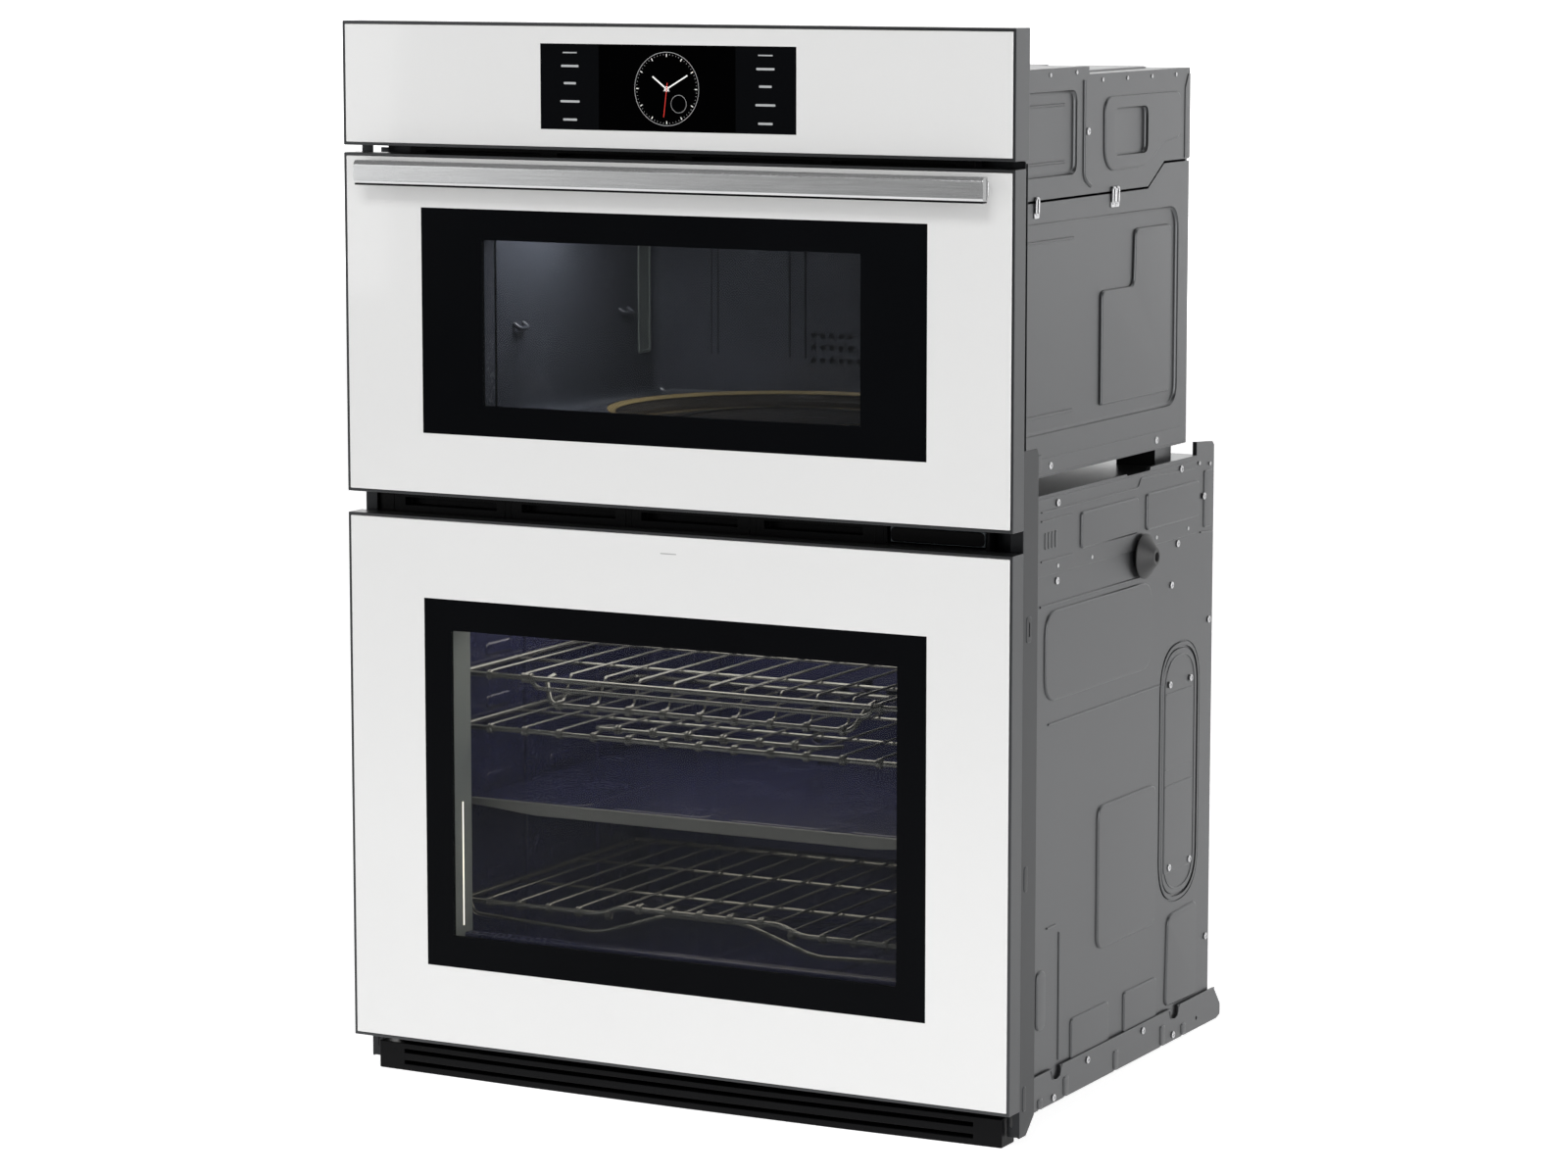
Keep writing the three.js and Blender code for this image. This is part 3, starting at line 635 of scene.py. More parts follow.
def reworked(nodeName, width, segments=2):
    # a merged copy of a frame node with its edges broken
    piece = copyOf(nodes[nodeName])
    piece.parent = None
    for key in list(piece.keys()):
        del piece[key]
    pickOnly(piece)
    editAll()
    bpy.ops.mesh.remove_doubles(threshold=0.00001)
    bpy.ops.mesh.dissolve_limited(angle_limit=math.radians(1))
    bpy.ops.mesh.normals_make_consistent(inside=False)
    doneEditing()
    return applyStep(piece, "BEVEL", width=width * mm, segments=segments, limit_method="ANGLE",
                     angle_limit=math.radians(50), use_clamp_overlap=False)


def settleReworked(node, name, body, look, slotName, width, segments=2):
    return settle(reworked(node, width, segments), name, body, finish[look], slotName, node)


def stamped(master, places, turn=None):
    # copies of one small part, each with its own mesh, joined
    copies = []
    for place in places:
        twin = copyOf(master)
        if turn is not None:
            twin.data.transform(turn)
        twin.data.transform(Matrix.Translation(spot(*place)))
        copies.append(twin)
    return together(copies)


turnTo = {
    "right": Matrix.Rotation(math.radians(90), 4, "Y"),
    "left": Matrix.Rotation(math.radians(-90), 4, "Y"),
    "back": Matrix.Rotation(math.radians(-90), 4, "X"),
}
screwSet = {"radius": 3.7, "height": 1.7, "small": 0.55}


def makeScrew(scale=1.0):
    # pan head with a pressed cross, its seat at the origin, pointing up
    radius, height = screwSet["radius"] * scale * mm, screwSet["height"] * scale * mm
    bpy.ops.mesh.primitive_cylinder_add(vertices=16, radius=radius, depth=height, location=(0, 0, height / 2))
    head = applyPlace(bpy.context.object)
    head.data.transform(Matrix.Scale(0.999, 4))
    roundEdges(head, height / mm * 0.42, 3, 50)
    for turn in (0, 90):
        bpy.ops.mesh.primitive_cube_add(size=1, location=(0, 0, height))
        slot = bpy.context.object
        slot.scale = (radius * 1.15, radius * 0.28, height * 0.9)
        slot.rotation_euler.z = math.radians(turn)
        carve(head, applyPlace(slot))
    return head


bigScrew = makeScrew()
smallScrew = makeScrew(screwSet["small"])


def screws(name, side, places, small=False):
    piece = stamped(smallScrew if small else bigScrew, places, turnTo[side])
    return settle(piece, name, "carcass", finish["screwZinc"], "galvanised")


def relief(outline, facing, surface, height, corner=6, roll=None):
    # a pressed-out area: half of the plate is sunk in the sheet
    return plate(outline, facing, surface, height * 2, corner, height * 0.98 if roll is None else roll)


def bead(points, radius=1.4, bend=8, closed=False):
    return bentRod(points, radius, bend, closed, 2)


# ---- fronts: control panel and the two doors ----
frontSet = {
    "glassHalf": 375.3, "glassThick": 4.2, "edgeRound": 0.9,
    "upper": {"low": 576.8, "high": 918.5, "print": (286, 638, 868), "clear": (214, 669, 837)},
    "lower": {"low": 3.2, "high": 548.6, "print": (287, 84, 468), "clear": (255, 117, 436)},
    "panel": {"low": 932.4, "high": 1052.1, "print": (144, 950, 1035), "screen": (77, 950, 1035)},
}


def framedOpening(piece, half, low, high):
    return carve(piece, slab((-half, -4, low), (half, 10, high)))


def frontSheet(name, body, part, node):
    half, thick = frontSet["glassHalf"], frontSet["glassThick"]
    sheet = slab((-half, 0, part["low"]), (half, thick, part["high"]))
    roundEdges(sheet, frontSet["edgeRound"], 4)
    framedOpening(sheet, *part["print"])
    return settle(sheet, name, body, finish["whiteGlass"], "white_glass", node)


def printedBorder(name, body, part, inner):
    half, low, high = part["print"]
    border = slab((-half, 0.02, low), (half, frontSet["glassThick"], high))
    roundEdges(border, 0.12, 1)
    framedOpening(border, *inner)
    return settle(border, name, body, finish["blackGlass"], "white_glass")


def clearPane(name, body, area, material, depth=(0.06, 4.0)):
    half, low, high = area
    pane = slab((-half + 0.05, depth[0], low + 0.05), (half - 0.05, depth[1], high - 0.05))
    roundEdges(pane, 0.15, 2)
    return settle(pane, name, body, finish[material], "white_glass")


def makeFronts():
    for name, body, node in (("upper", "upper_door", "upper_door_outer_glass"),
                             ("lower", "lower_door", "lower_door_outer_glass")):
        part = frontSet[name]
        frontSheet(name + "DoorGlass", body, part, node)
        printedBorder(name + "DoorBorder", body, part, part["clear"])
        clearPane(name + "DoorPane", body, part["clear"], "ovenPane")
    part = frontSet["panel"]
    frontSheet("panelGlass", "carcass", part, "control_panel_glass")
    printedBorder("panelKeys", "carcass", part, part["screen"])
    clearPane("panelScreen", "carcass", part["screen"], "screenBlack")


makeFronts()
print("front glasses done")

clockSet = {"centre": (0, 992), "ring": 36, "tick": 31.5, "hour": -53, "minute": 60, "second": 187}


def clockStroke(inner, outer, angle, width, centre, depth=0.01):
    # a thin bar that points away from the centre at that clock angle
    a = math.radians(angle)
    ends = [(centre[0] + r * math.sin(a), centre[1] + r * math.cos(a)) for r in (inner, outer)]
    side = (math.cos(a) * width / 2, -math.sin(a) * width / 2)
    outline = [(ends[0][0] - side[0], ends[0][1] - side[1]), (ends[1][0] - side[0], ends[1][1] - side[1]),
               (ends[1][0] + side[0], ends[1][1] + side[1]), (ends[0][0] + side[0], ends[0][1] + side[1])]
    return plate(outline, "y", depth, 0.12, width * 0.3, 0.03)


def ringLine(centre, radius, width, depth=0.012):
    bpy.ops.mesh.primitive_torus_add(major_radius=radius * mm, minor_radius=width / 2 * mm,
                                     major_segments=72, minor_segments=6,
                                     location=spot(centre[0], depth + 0.02, centre[1]),
                                     rotation=(math.radians(90), 0, 0))
    ring = bpy.context.object
    ring.scale = (1, 1, 0.15)
    return applyPlace(ring)


def makeClock():
    centre = clockSet["centre"]
    marks = [clockStroke(clockSet["tick"], clockSet["tick"] + 2.8, k * 30, 0.8, centre) for k in range(12)]
    fine = [clockStroke(clockSet["tick"] + 1.6, clockSet["tick"] + 2.8, k * 6, 0.3, centre)
            for k in range(60) if k % 5]
    marks.append(clockStroke(3, 20, clockSet["hour"], 1.5, centre, 0.0))
    marks.append(clockStroke(3, 27, clockSet["minute"], 1.4, centre, 0.0))
    for reach in ("hour", "minute"):
        marks.append(clockStroke(-4, 5, clockSet[reach], 0.6, centre, 0.0))
    marks.append(ringLine(centre, 2.2, 0.8))
    settle(together(marks), "clockMarks", "carcass", finish["clockWhite"], "white_glass")
    smallDial = (centre[0] + 13.5, centre[1] - 14.5)
    rim = [ringLine(centre, clockSet["ring"], 0.45), ringLine(smallDial, 8.6, 0.35)]
    settle(together(fine + rim), "clockRim", "carcass", finish["keyMark"], "white_glass")
    second = [clockStroke(-6, 28, clockSet["second"], 0.6, centre, -0.01)]
    settle(together(second), "clockSecond", "carcass", finish["clockRed"], "white_glass")
    # plain bars stand where the touch keys are
    keys = []
    for side in (-1, 1):
        x = side * 110
        keys.append(plate(box2((x - 8, 1025.6), (x + 8, 1026.8)), "y", 0.0, 0.12, 0.3, 0.03))
        for row, z in enumerate((1013, 996, 978, 960)):
            half = (10, 7, 11, 8)[row]
            keys.append(plate(box2((x - half, z - 1.1), (x + half, z + 1.1)), "y", 0.0, 0.12, 0.9, 0.03))
    settle(together(keys), "keyMarks", "carcass", finish["keyMark"], "white_glass")
    touch = plate(box2((-9, 530.4), (9, 531.6)), "y", 0.0, 0.1, 0.4, 0.03)
    settle(touch, "doorTouchMark", "lower_door", finish["softMark"], "white_glass")


makeClock()
print("clock and key marks done")

frameSet = {"half": 378.5, "front": 0.5, "edge": 2.9}


def edgeFrame(low, high, hole, back=25.0):
    # the metal tray behind a glass: an outer rim and the opening through it
    half = frameSet["half"]
    tray = slab((-half, frameSet["front"], low), (half, back, high))
    roundEdges(tray, 0.9, 3)
    seat = slab((-half + frameSet["edge"], -5, low + frameSet["edge"]),
                (half - frameSet["edge"], frontSet["glassThick"] + 0.15, high - frameSet["edge"]))
    carve(tray, seat)
    carve(tray, slab((-hole[0], -5, hole[1]), (hole[0], 60, hole[2])))
    return tray


def makeFrames():
    upper = edgeFrame(573.6, 921.7, (338.5, 606, 892))
    lower = edgeFrame(0, 551.8, (338.5, 30, 522))
    for tray, low in ((upper, 573.6), (lower, 0.0)):
        for side in (-1, 1):
            carve(tray, slab((side * 346 - 6, 5, low - 5), (side * 346 + 6, 40, low + 19)))
    settle(upper, "upperDoorTray", "upper_door", finish["edgeMetal"], "edge_metal", "upper_door_frame")
    settle(lower, "lowerDoorTray", "lower_door", finish["edgeMetal"], "edge_metal", "lower_door_frame")
    panel = edgeFrame(929.2, 1055.3, (372.6, 935.1, 1049.4), 32.0)
    tabs = [slab((-372, 30.8, 935.5), (372, 32, 1049))]
    for side in (-1, 1):
        low, high = sorted((side * 290, side * 358.5))
        tabs.append(slab((low, 30.5, 940), (high, 49.7, 990)))
        low, high = sorted((side * 290, side * 374.5))
        tabs.append(slab((low, 30.5, 941), (high, 32, 989)))
    for tab in tabs:
        roundEdges(tab, 0.5, 2)
    settle(together([panel] + tabs), "panelTray", "carcass", finish["edgeMetal"], "edge_metal",
           "control_panel_frame")


makeFrames()

handleSet = {
    "half": 354, "front": -20, "back": -9, "low": 890, "high": 915, "underside": 1.7,
    "postAt": 343, "postHalf": 7, "postHeight": (895, 910), "collarEdge": 1.2,
}


def makeHandle():
    h = handleSet
    # section of the bar: broad top bevel, smaller lower bevel
    foot = h["low"] + h["underside"]
    section = [(h["back"], foot), (h["front"] + 1.5, foot), (h["front"], h["low"] + 4.2),
               (h["front"], h["high"] - 4.2), (h["front"] + 2.6, h["high"]), (h["back"], h["high"])]
    bar = plate(section, "x", 0, h["half"] * 2, 0.8, 0.7, 3)
    pickFaces(bar, lambda face: abs(face.normal.x) > 0.9)
    bpy.ops.mesh.inset(thickness=1.1 * mm, depth=-0.5 * mm)
    doneEditing()
    settle(bar, "handleBar", "upper_door", finish["brushedBar"], "brushed_steel", "handle_bar")
    # painted shade: a thin black strip along the bar's underside stands for the shade there, and the bar's
    # foot is lifted by its height
    reach = h["half"] - 0.6
    under = slab((-reach, h["front"] + 1.2, h["low"]), (reach, h["back"] - 0.4, h["low"] + 1.6))
    roundEdges(under, 0.4, 2)
    settle(under, "handleShadeStrip", "upper_door", finish["blackMould"], "brushed_steel")
    low, high = h["postHeight"]
    wide, lap = h["postHalf"], h["collarEdge"]
    for side, name in ((-1, "Left"), (1, "Right")):
        x = side * h["postAt"]
        post = plate(box2((x - wide, low), (x + wide, high)), "y", -4.5, 8.4, 2.5, 0.6)
        collarLine = box2((x - wide - lap, low - lap), (x + wide + lap, high + lap))
        collar = plate(collarLine, "y", -1.1, 1.6, 3, 0.5)
        settle(together([post, collar]), "handlePost" + name, "upper_door", finish["brushedBar"],
               "brushed_steel", "handle_post_" + name.lower())


makeHandle()
print("doors' metalwork done")

# ---- upper casing: two sides, the stepped cover and the back ----
upperSet = {
    "half": 352, "sheet": 5, "front": 52.6, "back": 483, "foot": 614,
    "seam": [(52.6, 885), (377, 886), (418, 910), (483, 910)], "gap": 1.1,
    "top": 1013, "step": 228, "rear": 1005,
}


def upperSideRight():
    u = upperSet
    inner, outer = u["half"] - u["sheet"], u["half"]
    outline = [(u["front"], u["foot"]), (u["back"], u["foot"])]
    outline += [(y, z - u["gap"]) for y, z in reversed(u["seam"])]
    sheet = plate(outline, "x", (inner + outer) / 2, u["sheet"], 0, 0.4)
    # the big pressed-in area, with its raised step left standing
    well = plate([(40, 656.5), (457, 656.5), (457, 864), (40, 864)], "x", outer, 6.4, 24, 3.1, 8)
    island = plate([(273, 672), (440, 672), (440, 846), (349, 846), (346, 788), (266, 788), (266, 672)],
                   "x", outer - 2.6, 4.6, 9, 2.2, 6)
    carve(sheet, well)
    strip = plate(box2((50, 616), (480, 632.8)), "x", outer, 1.5, 1.2, 0.7)
    marks = [island, strip]
    marks += [bead([(outer - 3.1, 60, z), (outer - 3.1, 199, z)], 1.5) for z in (674, 845)]
    floorFlange = slab((292, u["front"], 614), (349, u["back"], 615.2))
    roundEdges(floorFlange, 0.3, 1)
    tab = plate(box2((110, 620), (120, 637)), "x", outer + 0.9, 1.4, 1.6, 0.6)
    return together([sheet, floorFlange, tab] + marks)


def coverSkirtRight():
    u = upperSet
    inner, outer = u["half"] - u["sheet"], u["half"]
    outline = [(y, z + u["gap"]) for y, z in u["seam"]]
    outline += [(u["back"], u["rear"]), (u["step"] + 1, u["rear"])]
    outline += [(u["step"], u["top"]), (u["front"], u["top"])]
    sheet = plate(outline, "x", (inner + outer) / 2, u["sheet"], 0, 0.4)
    carve(sheet, plate([(30, 908), (200, 908), (200, 991), (30, 991)], "x", outer, 7.2, 12, 3.5, 6))
    carve(sheet, plate(box2((288, 922), (372, 970)), "x", outer, 5.0, 10, 2.4, 5))
    rimLine = [(265, 921), (279, 907), (370, 908), (412, 930), (457, 934), (457, 982), (274, 982), (264, 972)]
    frame = plate(rimLine, "x", outer, 3.4, 12, 1.7, 6)
    carve(frame, plate(box2((288, 922), (372, 970)), "x", outer, 9, 10, 2.4, 5))
    marks = [bead([(outer - 3.4, 60, z), (outer - 3.4, 176, z)], 1.5) for z in (977, 921)]
    marks.append(bead([(outer - 0.6, 217, 1000), (outer - 0.6, 217, 903), (outer - 0.6, 233, 895)], 2.6, 14))
    stripLine = [(473, 912), (486, 912), (486, 999), (481, 999), (473, 985)]
    rearStrip = plate(stripLine, "x", outer - 0.2, 2.2, 1, 0.7)
    rearStrip.data.transform(Matrix.Translation((0, -3.2 * mm, 0)))
    edge = bead([(outer - 0.6, 471.5, 912), (outer - 0.6, 471.5, 983), (outer - 0.6, 482, 1002)], 0.9, 2)
    return together([sheet, frame, rearStrip, edge] + marks)


def springClip(y, z):
    # bent wire clip over the seam
    outer = upperSet["half"]
    loop = bentRod([(outer + 1.2, y - 3, z - 8), (outer + 1.6, y - 3, z + 8), (outer + 1.6, y + 3, z + 8),
                    (outer + 1.2, y + 3, z - 8)], 1.3, 3, True, 2)
    foot = plate(box2((y - 5.5, z - 12), (y + 5.5, z - 6)), "x", outer + 0.6, 1.2, 2, 0.5)
    return together([loop, foot])


def makeUpperCasing():
    u = upperSet
    side = upperSideRight()
    settlePair(side, "upperSide", "galvanised", "galvanised", "upper_side")
    skirt = coverSkirtRight()
    otherSkirt = mirroredCopy(skirt)
    half = u["half"] - 0.4
    frontTop = slab((-half, u["front"], u["top"] - 1.2), (half, u["step"], u["top"]))
    riser = slab((-half, u["step"] - 1.2, u["rear"] - 0.5), (half, u["step"], u["top"] - 0.6))
    rearTop = slab((-half, u["step"] - 0.6, u["rear"] - 1.2), (half, u["back"], u["rear"]))
    ribs = []
    for x in (-265, -155, -45, 65, 175, 285):
        ribs.append(relief(box2((x - 36, 78), (x + 36, 205)), "z", u["top"] - 1.7, 1.6, 14))
        ribs.append(relief(box2((x - 36, 262), (x + 36, 452)), "z", u["rear"], 2.2, 16))
    for part in (frontTop, riser, rearTop):
        roundEdges(part, 0.35, 2)
    settleSheet([skirt, otherSkirt, frontTop, riser, rearTop] + ribs, "topCover", "upper_top_cover")
    clips = [springClip(105, 881), springClip(288, 882.5), springClip(297, 882.5)]
    other = [mirroredCopy(clip) for clip in clips]
    settle(together(clips + other), "seamClips", "carcass", finish["screwZinc"], "galvanised")
    topRow = [(136, 1007), (198, 1008), (261, 999), (322, 999), (384, 999), (446, 999)]
    for side, x in (("right", u["half"]), ("left", -u["half"])):
        screws("coverScrews" + side.title(), side, [(x, y, z) for y, z in topRow], small=True)
        screws("upperScrews" + side.title(), side, [(x, 226, 949), (x, 142, 624), (x, 404, 624)])


makeUpperCasing()
print("upper casing done")


def makeBacks():
    # lower back: cross-pressed panel with a vent field and an access plate
    low = slab((-356.9, 545.6, -19.5), (356.9, 550, 592.5))
    roundEdges(low, 0.5, 2)
    for x in (-300, 215):
        for row in range(9):
            z = 470 + row * 10
            carve(low, plate(box2((x, z), (x + 85, z + 3.2)), "y", 548, 12, 1.5, 0.0))
    marks = [relief(box2((x - 78, 40), (x + 78, 440)), "y", 549.6, 2.4, 26, 2.2) for x in (-250, 250)]
    marks.append(relief(box2((-150, 120), (150, 440)), "y", 549.6, 1.6, 30))
    marks.append(relief(box2((-118, 30), (118, 96)), "y", 549.6, 2.0, 18))
    low.data.transform(Matrix.Translation((0, -2.6 * mm, 0)))
    for mark in marks:
        mark.data.transform(Matrix.Translation((0, -2.6 * mm, 0)))
    settleSheet([low] + marks, "lowerBack", "lower_back_panel")
    places = [(x, 547.4, z) for z in (-8, 580) for x in (-340, -200, -60, 60, 200, 340)]
    places += [(x, 547.4, z) for z in (140, 300, 460) for x in (-346, 346)]
    screws("lowerBackScrews", "back", places)
    up = slab((-350.4, 478.4, 614), (350.4, 482.8, 1003.5))
    roundEdges(up, 0.5, 2)
    for row in range(7):
        z = 770 + row * 11
        carve(up, plate(box2((60, z), (200, z + 4)), "y", 480, 12, 1.8, 0.0))
    field = [relief(box2((x - 92, 650), (x + 92, 740)), "y", 482.4, 2.2, 24, 2.0) for x in (-220, 0, 220)]
    field.append(relief(box2((-210, 880), (210, 960)), "y", 482.4, 2.0, 20))
    for part in [up] + field:
        part.data.transform(Matrix.Translation((0, -1.9 * mm, 0)))
    settleSheet([up] + field, "upperBack", "upper_back_panel")
    places = [(x, 480.9, z) for z in (626, 990) for x in (-335, -170, 0, 170, 335)]
    places += [(x, 480.9, z) for z in (740, 860) for x in (-338, 338)]
    screws("upperBackScrews", "back", places)


makeBacks()
print("back panels done")

# ---- lower casing sides: every pressed shape as (outline, height, corner) ----
lowerSet = {
    "half": 357, "sheet": 5,
    "outline": [(52.6, -19.5), (548.5, -19.5), (548.5, 606), (544, 610), (501, 613), (501, 599), (380, 599),
                (378, 595.5), (321, 595.5), (319, 597.5), (52.6, 597.5)],
    "band": [(60, 516.5), (500, 516.5), (500, 594), (60, 594)],
    "shapes": [
        ([(121, 389), (385, 389), (385, 481), (121, 481)], 1.8, 26),
        ([(252, 115), (400, 115), (400, 265), (252, 265)], 2.2, 14),
        ([(430, 20), (511, 18), (511, 121), (443, 118), (434, 112)], 2.0, 9),
        ([(322, 8), (406, 8), (406, 58), (322, 58)], 1.8, 6),
        ([(190, 8), (283, 8), (283, 57), (190, 57)], 1.8, 6),
    ],
    "bandShapes": [
        ([(203, 534), (345, 534), (345, 572), (203, 572)], 2.1, 6),
        ([(366, 534), (504, 534), (504, 573), (366, 573)], 2.1, 6),
    ],
    "beads": [[(131, 367), (408, 367)], [(161, 21), (161, 152)], [(131, 161), (152, 161)],
              [(110, 487), (385, 487)]],
    "bandBeads": [[(110, 532), (182, 532)], [(110, 572), (182, 572)],
                  [(110, 581), (346, 581), (352, 590), (495, 586)]],
    "bigScrews": [(149, 509), (452, 511), (437, 469), (538, 420), (539, 76)],
    "bandScrews": [(148, 587), (457, 589), (519, 554)],
    "smallScrews": [(232, 523), (150, 524), (395, 524), (478, 524), (507, 590), (536, 587)],
    "bracketScrews": [(227, 7), (144, -14), (367, 8), (447, -13)],
}


def coverPlate(outer):
    # obround access plate in its pressed ring
    ring = plate(box2((411, 131), (514, 405)), "x", outer, 2.4, 50, 0.5, 10)
    hollow = plate(box2((414.5, 134.5), (510.5, 401.5)), "x", outer, 6, 46.5, 0.3, 10)
    carve(ring, hollow)
    lid = plate(box2((417, 137), (508, 399)), "x", outer - 0.2, 2.2, 44, 1.0, 10)
    rimLine = softCorners(box2((423.5, 143.5), (501.5, 392.5)), 38, True, 8)
    rim = bead([(outer + 0.8, y, z) for y, z in rimLine], 0.9, 0, True)
    pads = [relief(box2((423, 273), (497, 355)), "x", outer + 0.9, 0.9, 4),
            relief(box2((423, 163), (497, 257)), "x", outer + 0.9, 0.9, 4)]
    return together([ring, lid, rim] + pads)


def lowerSideRight():
    s = lowerSet
    outer = s["half"]
    sheet = plate(s["outline"], "x", outer - s["sheet"] / 2, s["sheet"], 0, 0.4)
    # pressed ring seat of the access plate
    carve(sheet, plate(box2((409, 129), (516, 407)), "x", outer, 2.6, 52, 0.8, 10))
    band = plate(s["band"], "x", outer, 1.8, 3, 0.8)
    parts = [sheet, band, coverPlate(outer - 0.6)]
    parts += [relief(outline, "x", outer, height, corner) for outline, height, corner in s["shapes"]]
    parts += [relief(outline, "x", outer + 0.8, height, corner)
              for outline, height, corner in s["bandShapes"]]
    parts += [bead([(outer, y, z) for y, z in line], 1.2, 5) for line in s["beads"]]
    parts += [bead([(outer + 0.8, y, z) for y, z in line], 1.0, 4) for line in s["bandBeads"]]
    # half-round dimple by the front post, louvres and the rear post
    parts.append(plate(box2((106, 60), (127, 121)), "x", outer, 3.6, 10, 1.7, 8))
    for y in (118, 126, 134, 142):
        parts.append(plate(box2((y, 543), (y + 4.5, 560)), "x", outer + 0.9, 1.4, 2.2, 0.6))
    parts.append(plate(box2((521, 520), (542, 581)), "x", outer, 2.6, 3, 1.2))
    parts.append(bead([(outer + 0.3, 512, 516), (outer + 0.3, 544, 514)], 0.9))
    return together(parts)


def footBracketRight():
    # rail with two U-notches, pressed feet ribs and rolled edges
    outline = [(70, -20), (567, -20), (577, -17), (577, -5), (559, 16), (70, 16)]
    rail = plate(outline, "x", 358.65, 2.7, 1.2, 0.8)
    for y in (151, 451):
        notch = plate(box2((y - 10, 3), (y + 10, 40)), "x", 358.6, 12, 9.9, 0, 8)
        carve(rail, notch)
    lipLine = [(70, 15.6), (138, 15.6), (142, 5), (151, 2.6), (160, 5), (164, 15.6), (438, 15.6),
               (442, 5), (451, 2.6), (460, 5), (464, 15.6), (559, 15.6)]
    lips = [bead([(359.9, y, z) for y, z in lipLine], 0.8, 3)]
    feet = []
    for y, high in ((112, -8), (174, 2), (298, 2), (419, 3), (475, -6)):
        feet.append(relief(box2((y - 6, -18.5), (y + 6, high)), "x", 359.8, 1.5, 4))
        carve(rail, slab((350, y - 4, -24), (365, y + 4, -18.2)))
    carve(rail, roundBar((350, 511, -8), (370, 511, -8), 2.2, 12))
    return together([rail] + lips + feet)


def makeLowerSides():
    s = lowerSet
    side = lowerSideRight()
    settlePair(side, "lowerSide", "galvanised", "galvanised", "lower_side")
    settlePair(footBracketRight(), "footRail", "galvanised", "galvanised", "foot_bracket")
    plateScrews = [(489, 364), (434, 364), (490, 169), (436, 169)]
    for side, sign in (("right", 1), ("left", -1)):
        places = [(sign * 357, y, z) for y, z in s["bigScrews"]]
        places += [(sign * 357.9, y, z) for y, z in s["bandScrews"] + plateScrews]
        places += [(sign * 360, y, z) for y, z in s["bracketScrews"]]
        screws("lowerScrews" + side.title(), side, places)
        pins = [(sign * 357.6, y, z) for y, z in s["smallScrews"]]
        screws("lowerPins" + side.title(), side, pins, small=True)


makeLowerSides()
print("lower casing sides done")

trimSet = {
    "inner": 362, "outer": 375.5, "front": 30, "back": 65, "foot": -29, "head": 928.5, "wallTop": 650,
}


def sideTrimRight():
    t = trimSet
    faceLine = box2((t["inner"], t["foot"] + 1), (t["outer"], t["head"]))
    flange = plate(faceLine, "y", t["front"] + 0.7, 1.4, 2, 0.5)
    carve(flange, plate(box2((365.4, -18), (368.2, -6)), "y", t["front"], 12, 1.3, 0))
    wallLine = [(t["front"], t["foot"]), (46, t["foot"]), (t["back"], -12), (t["back"], 643),
                (62, t["wallTop"]), (t["front"], t["wallTop"])]
    wall = plate(wallLine, "x", t["outer"] - 0.9, 1.8, 1.4, 0.6)
    fold = plate(box2((t["inner"] - 4.5, 20), (t["outer"] - 0.3, 600)), "y", t["back"] - 0.7, 1.4, 1, 0.4)
    # strip behind the face plate, beside the upper casing
    closer = plate(box2((352.7, 604), (367, 925)), "y", 53.5, 1.3, 1, 0.4)
    corner = bead([(t["outer"] - 0.9, t["front"] + 0.9, z) for z in (t["foot"] + 2, 649)], 0.9)
    dimples = []
    for z in (229, 9):
        dimples.append(plate(box2((36.5, z - 13), (45.5, z + 13)), "x", t["outer"] - 0.5, 1.8, 4.4, 0.8, 6))
    clip = plate(box2((38, 462), (50, 488)), "x", t["outer"] - 0.5, 1.9, 4, 0.8, 5)
    clipHole = plate(box2((42, 468), (46, 482)), "x", t["outer"], 5, 1.8, 0, 4)
    carve(clip, clipHole)
    return together([flange, wall, fold, closer, corner, clip] + dimples)


def makeTrims():
    settlePair(sideTrimRight(), "sideTrim", "trimSteel", "grey_trim", "side_trim")
    settleReworked("bottom_vent_trim", "bottomGrille", "carcass", "blackMould", "black_plastic", 0.9, 3)
    settleReworked("top_vent_trim", "topGrille", "carcass", "blackMould", "black_plastic", 0.6)
    middle = reworked("middle_vent_trim", 0.5)
    rings = []
    for x0, x1 in ((-344, -210), (-203, -68), (-62, 74), (80, 214)):
        rings.append(bead([(x0, 34, 549), (x1, 34, 549), (x1, 34, 573), (x0, 34, 573)], 0.7, 7, True))
    settle(together([middle] + rings), "middleGrille", "carcass", finish["blackMould"], "black_plastic",
           "middle_vent_trim")
    housing = reworked("reservoir_housing", 0.6)
    mouth = bead([(x, 34.2, z) for x, z in box2((226, 550.6), (336, 570.6))], 0.8, 6, True)
    settle(together([housing, mouth]), "reservoirHousing", "carcass", finish["blackMould"], "black_plastic",
           "reservoir_housing")
    tray = reworked("reservoir_tray", 1.0, 3)
    face = plate(box2((229.6, 553.8), (331.4, 568)), "y", 37.4, 3.0, 5, 0.8)
    settle(face, "reservoirFace", "reservoir", finish["blackMould"], "black_plastic")
    settle(tray, "reservoirTray", "reservoir", finish["tank"], "tank_plastic", "reservoir_tray")
    profile = [(0.0, 0.0), (0.0, 8.5), (2.2, 8.5), (2.6, 22.2), (3.6, 23.4), (5.2, 23.3), (15.9, 10.2),
               (17.1, 9.0), (17.45, 7.4), (17.2, 5.2), (13.5, 4.4), (13.2, 0.0)]
    cone = turned(profile, (357.3, 358, 509), "x", 56)
    settle(cone, "sideBumper", "carcass", finish["rubber"], "rubber_black", "side_bumper")


makeTrims()
print("trims, grilles and bumper done")

# ---- lower oven: enamelled liner, lamp, rack guides ----
ovenSet = {
    "half": 290, "low": 60, "high": 490, "front": 50, "back": 480, "wall": 3, "corner": 24,
    "guides": [142, 244, 326, 382], "guideDrop": 6.4, "lipDepth": (52, 92),
}


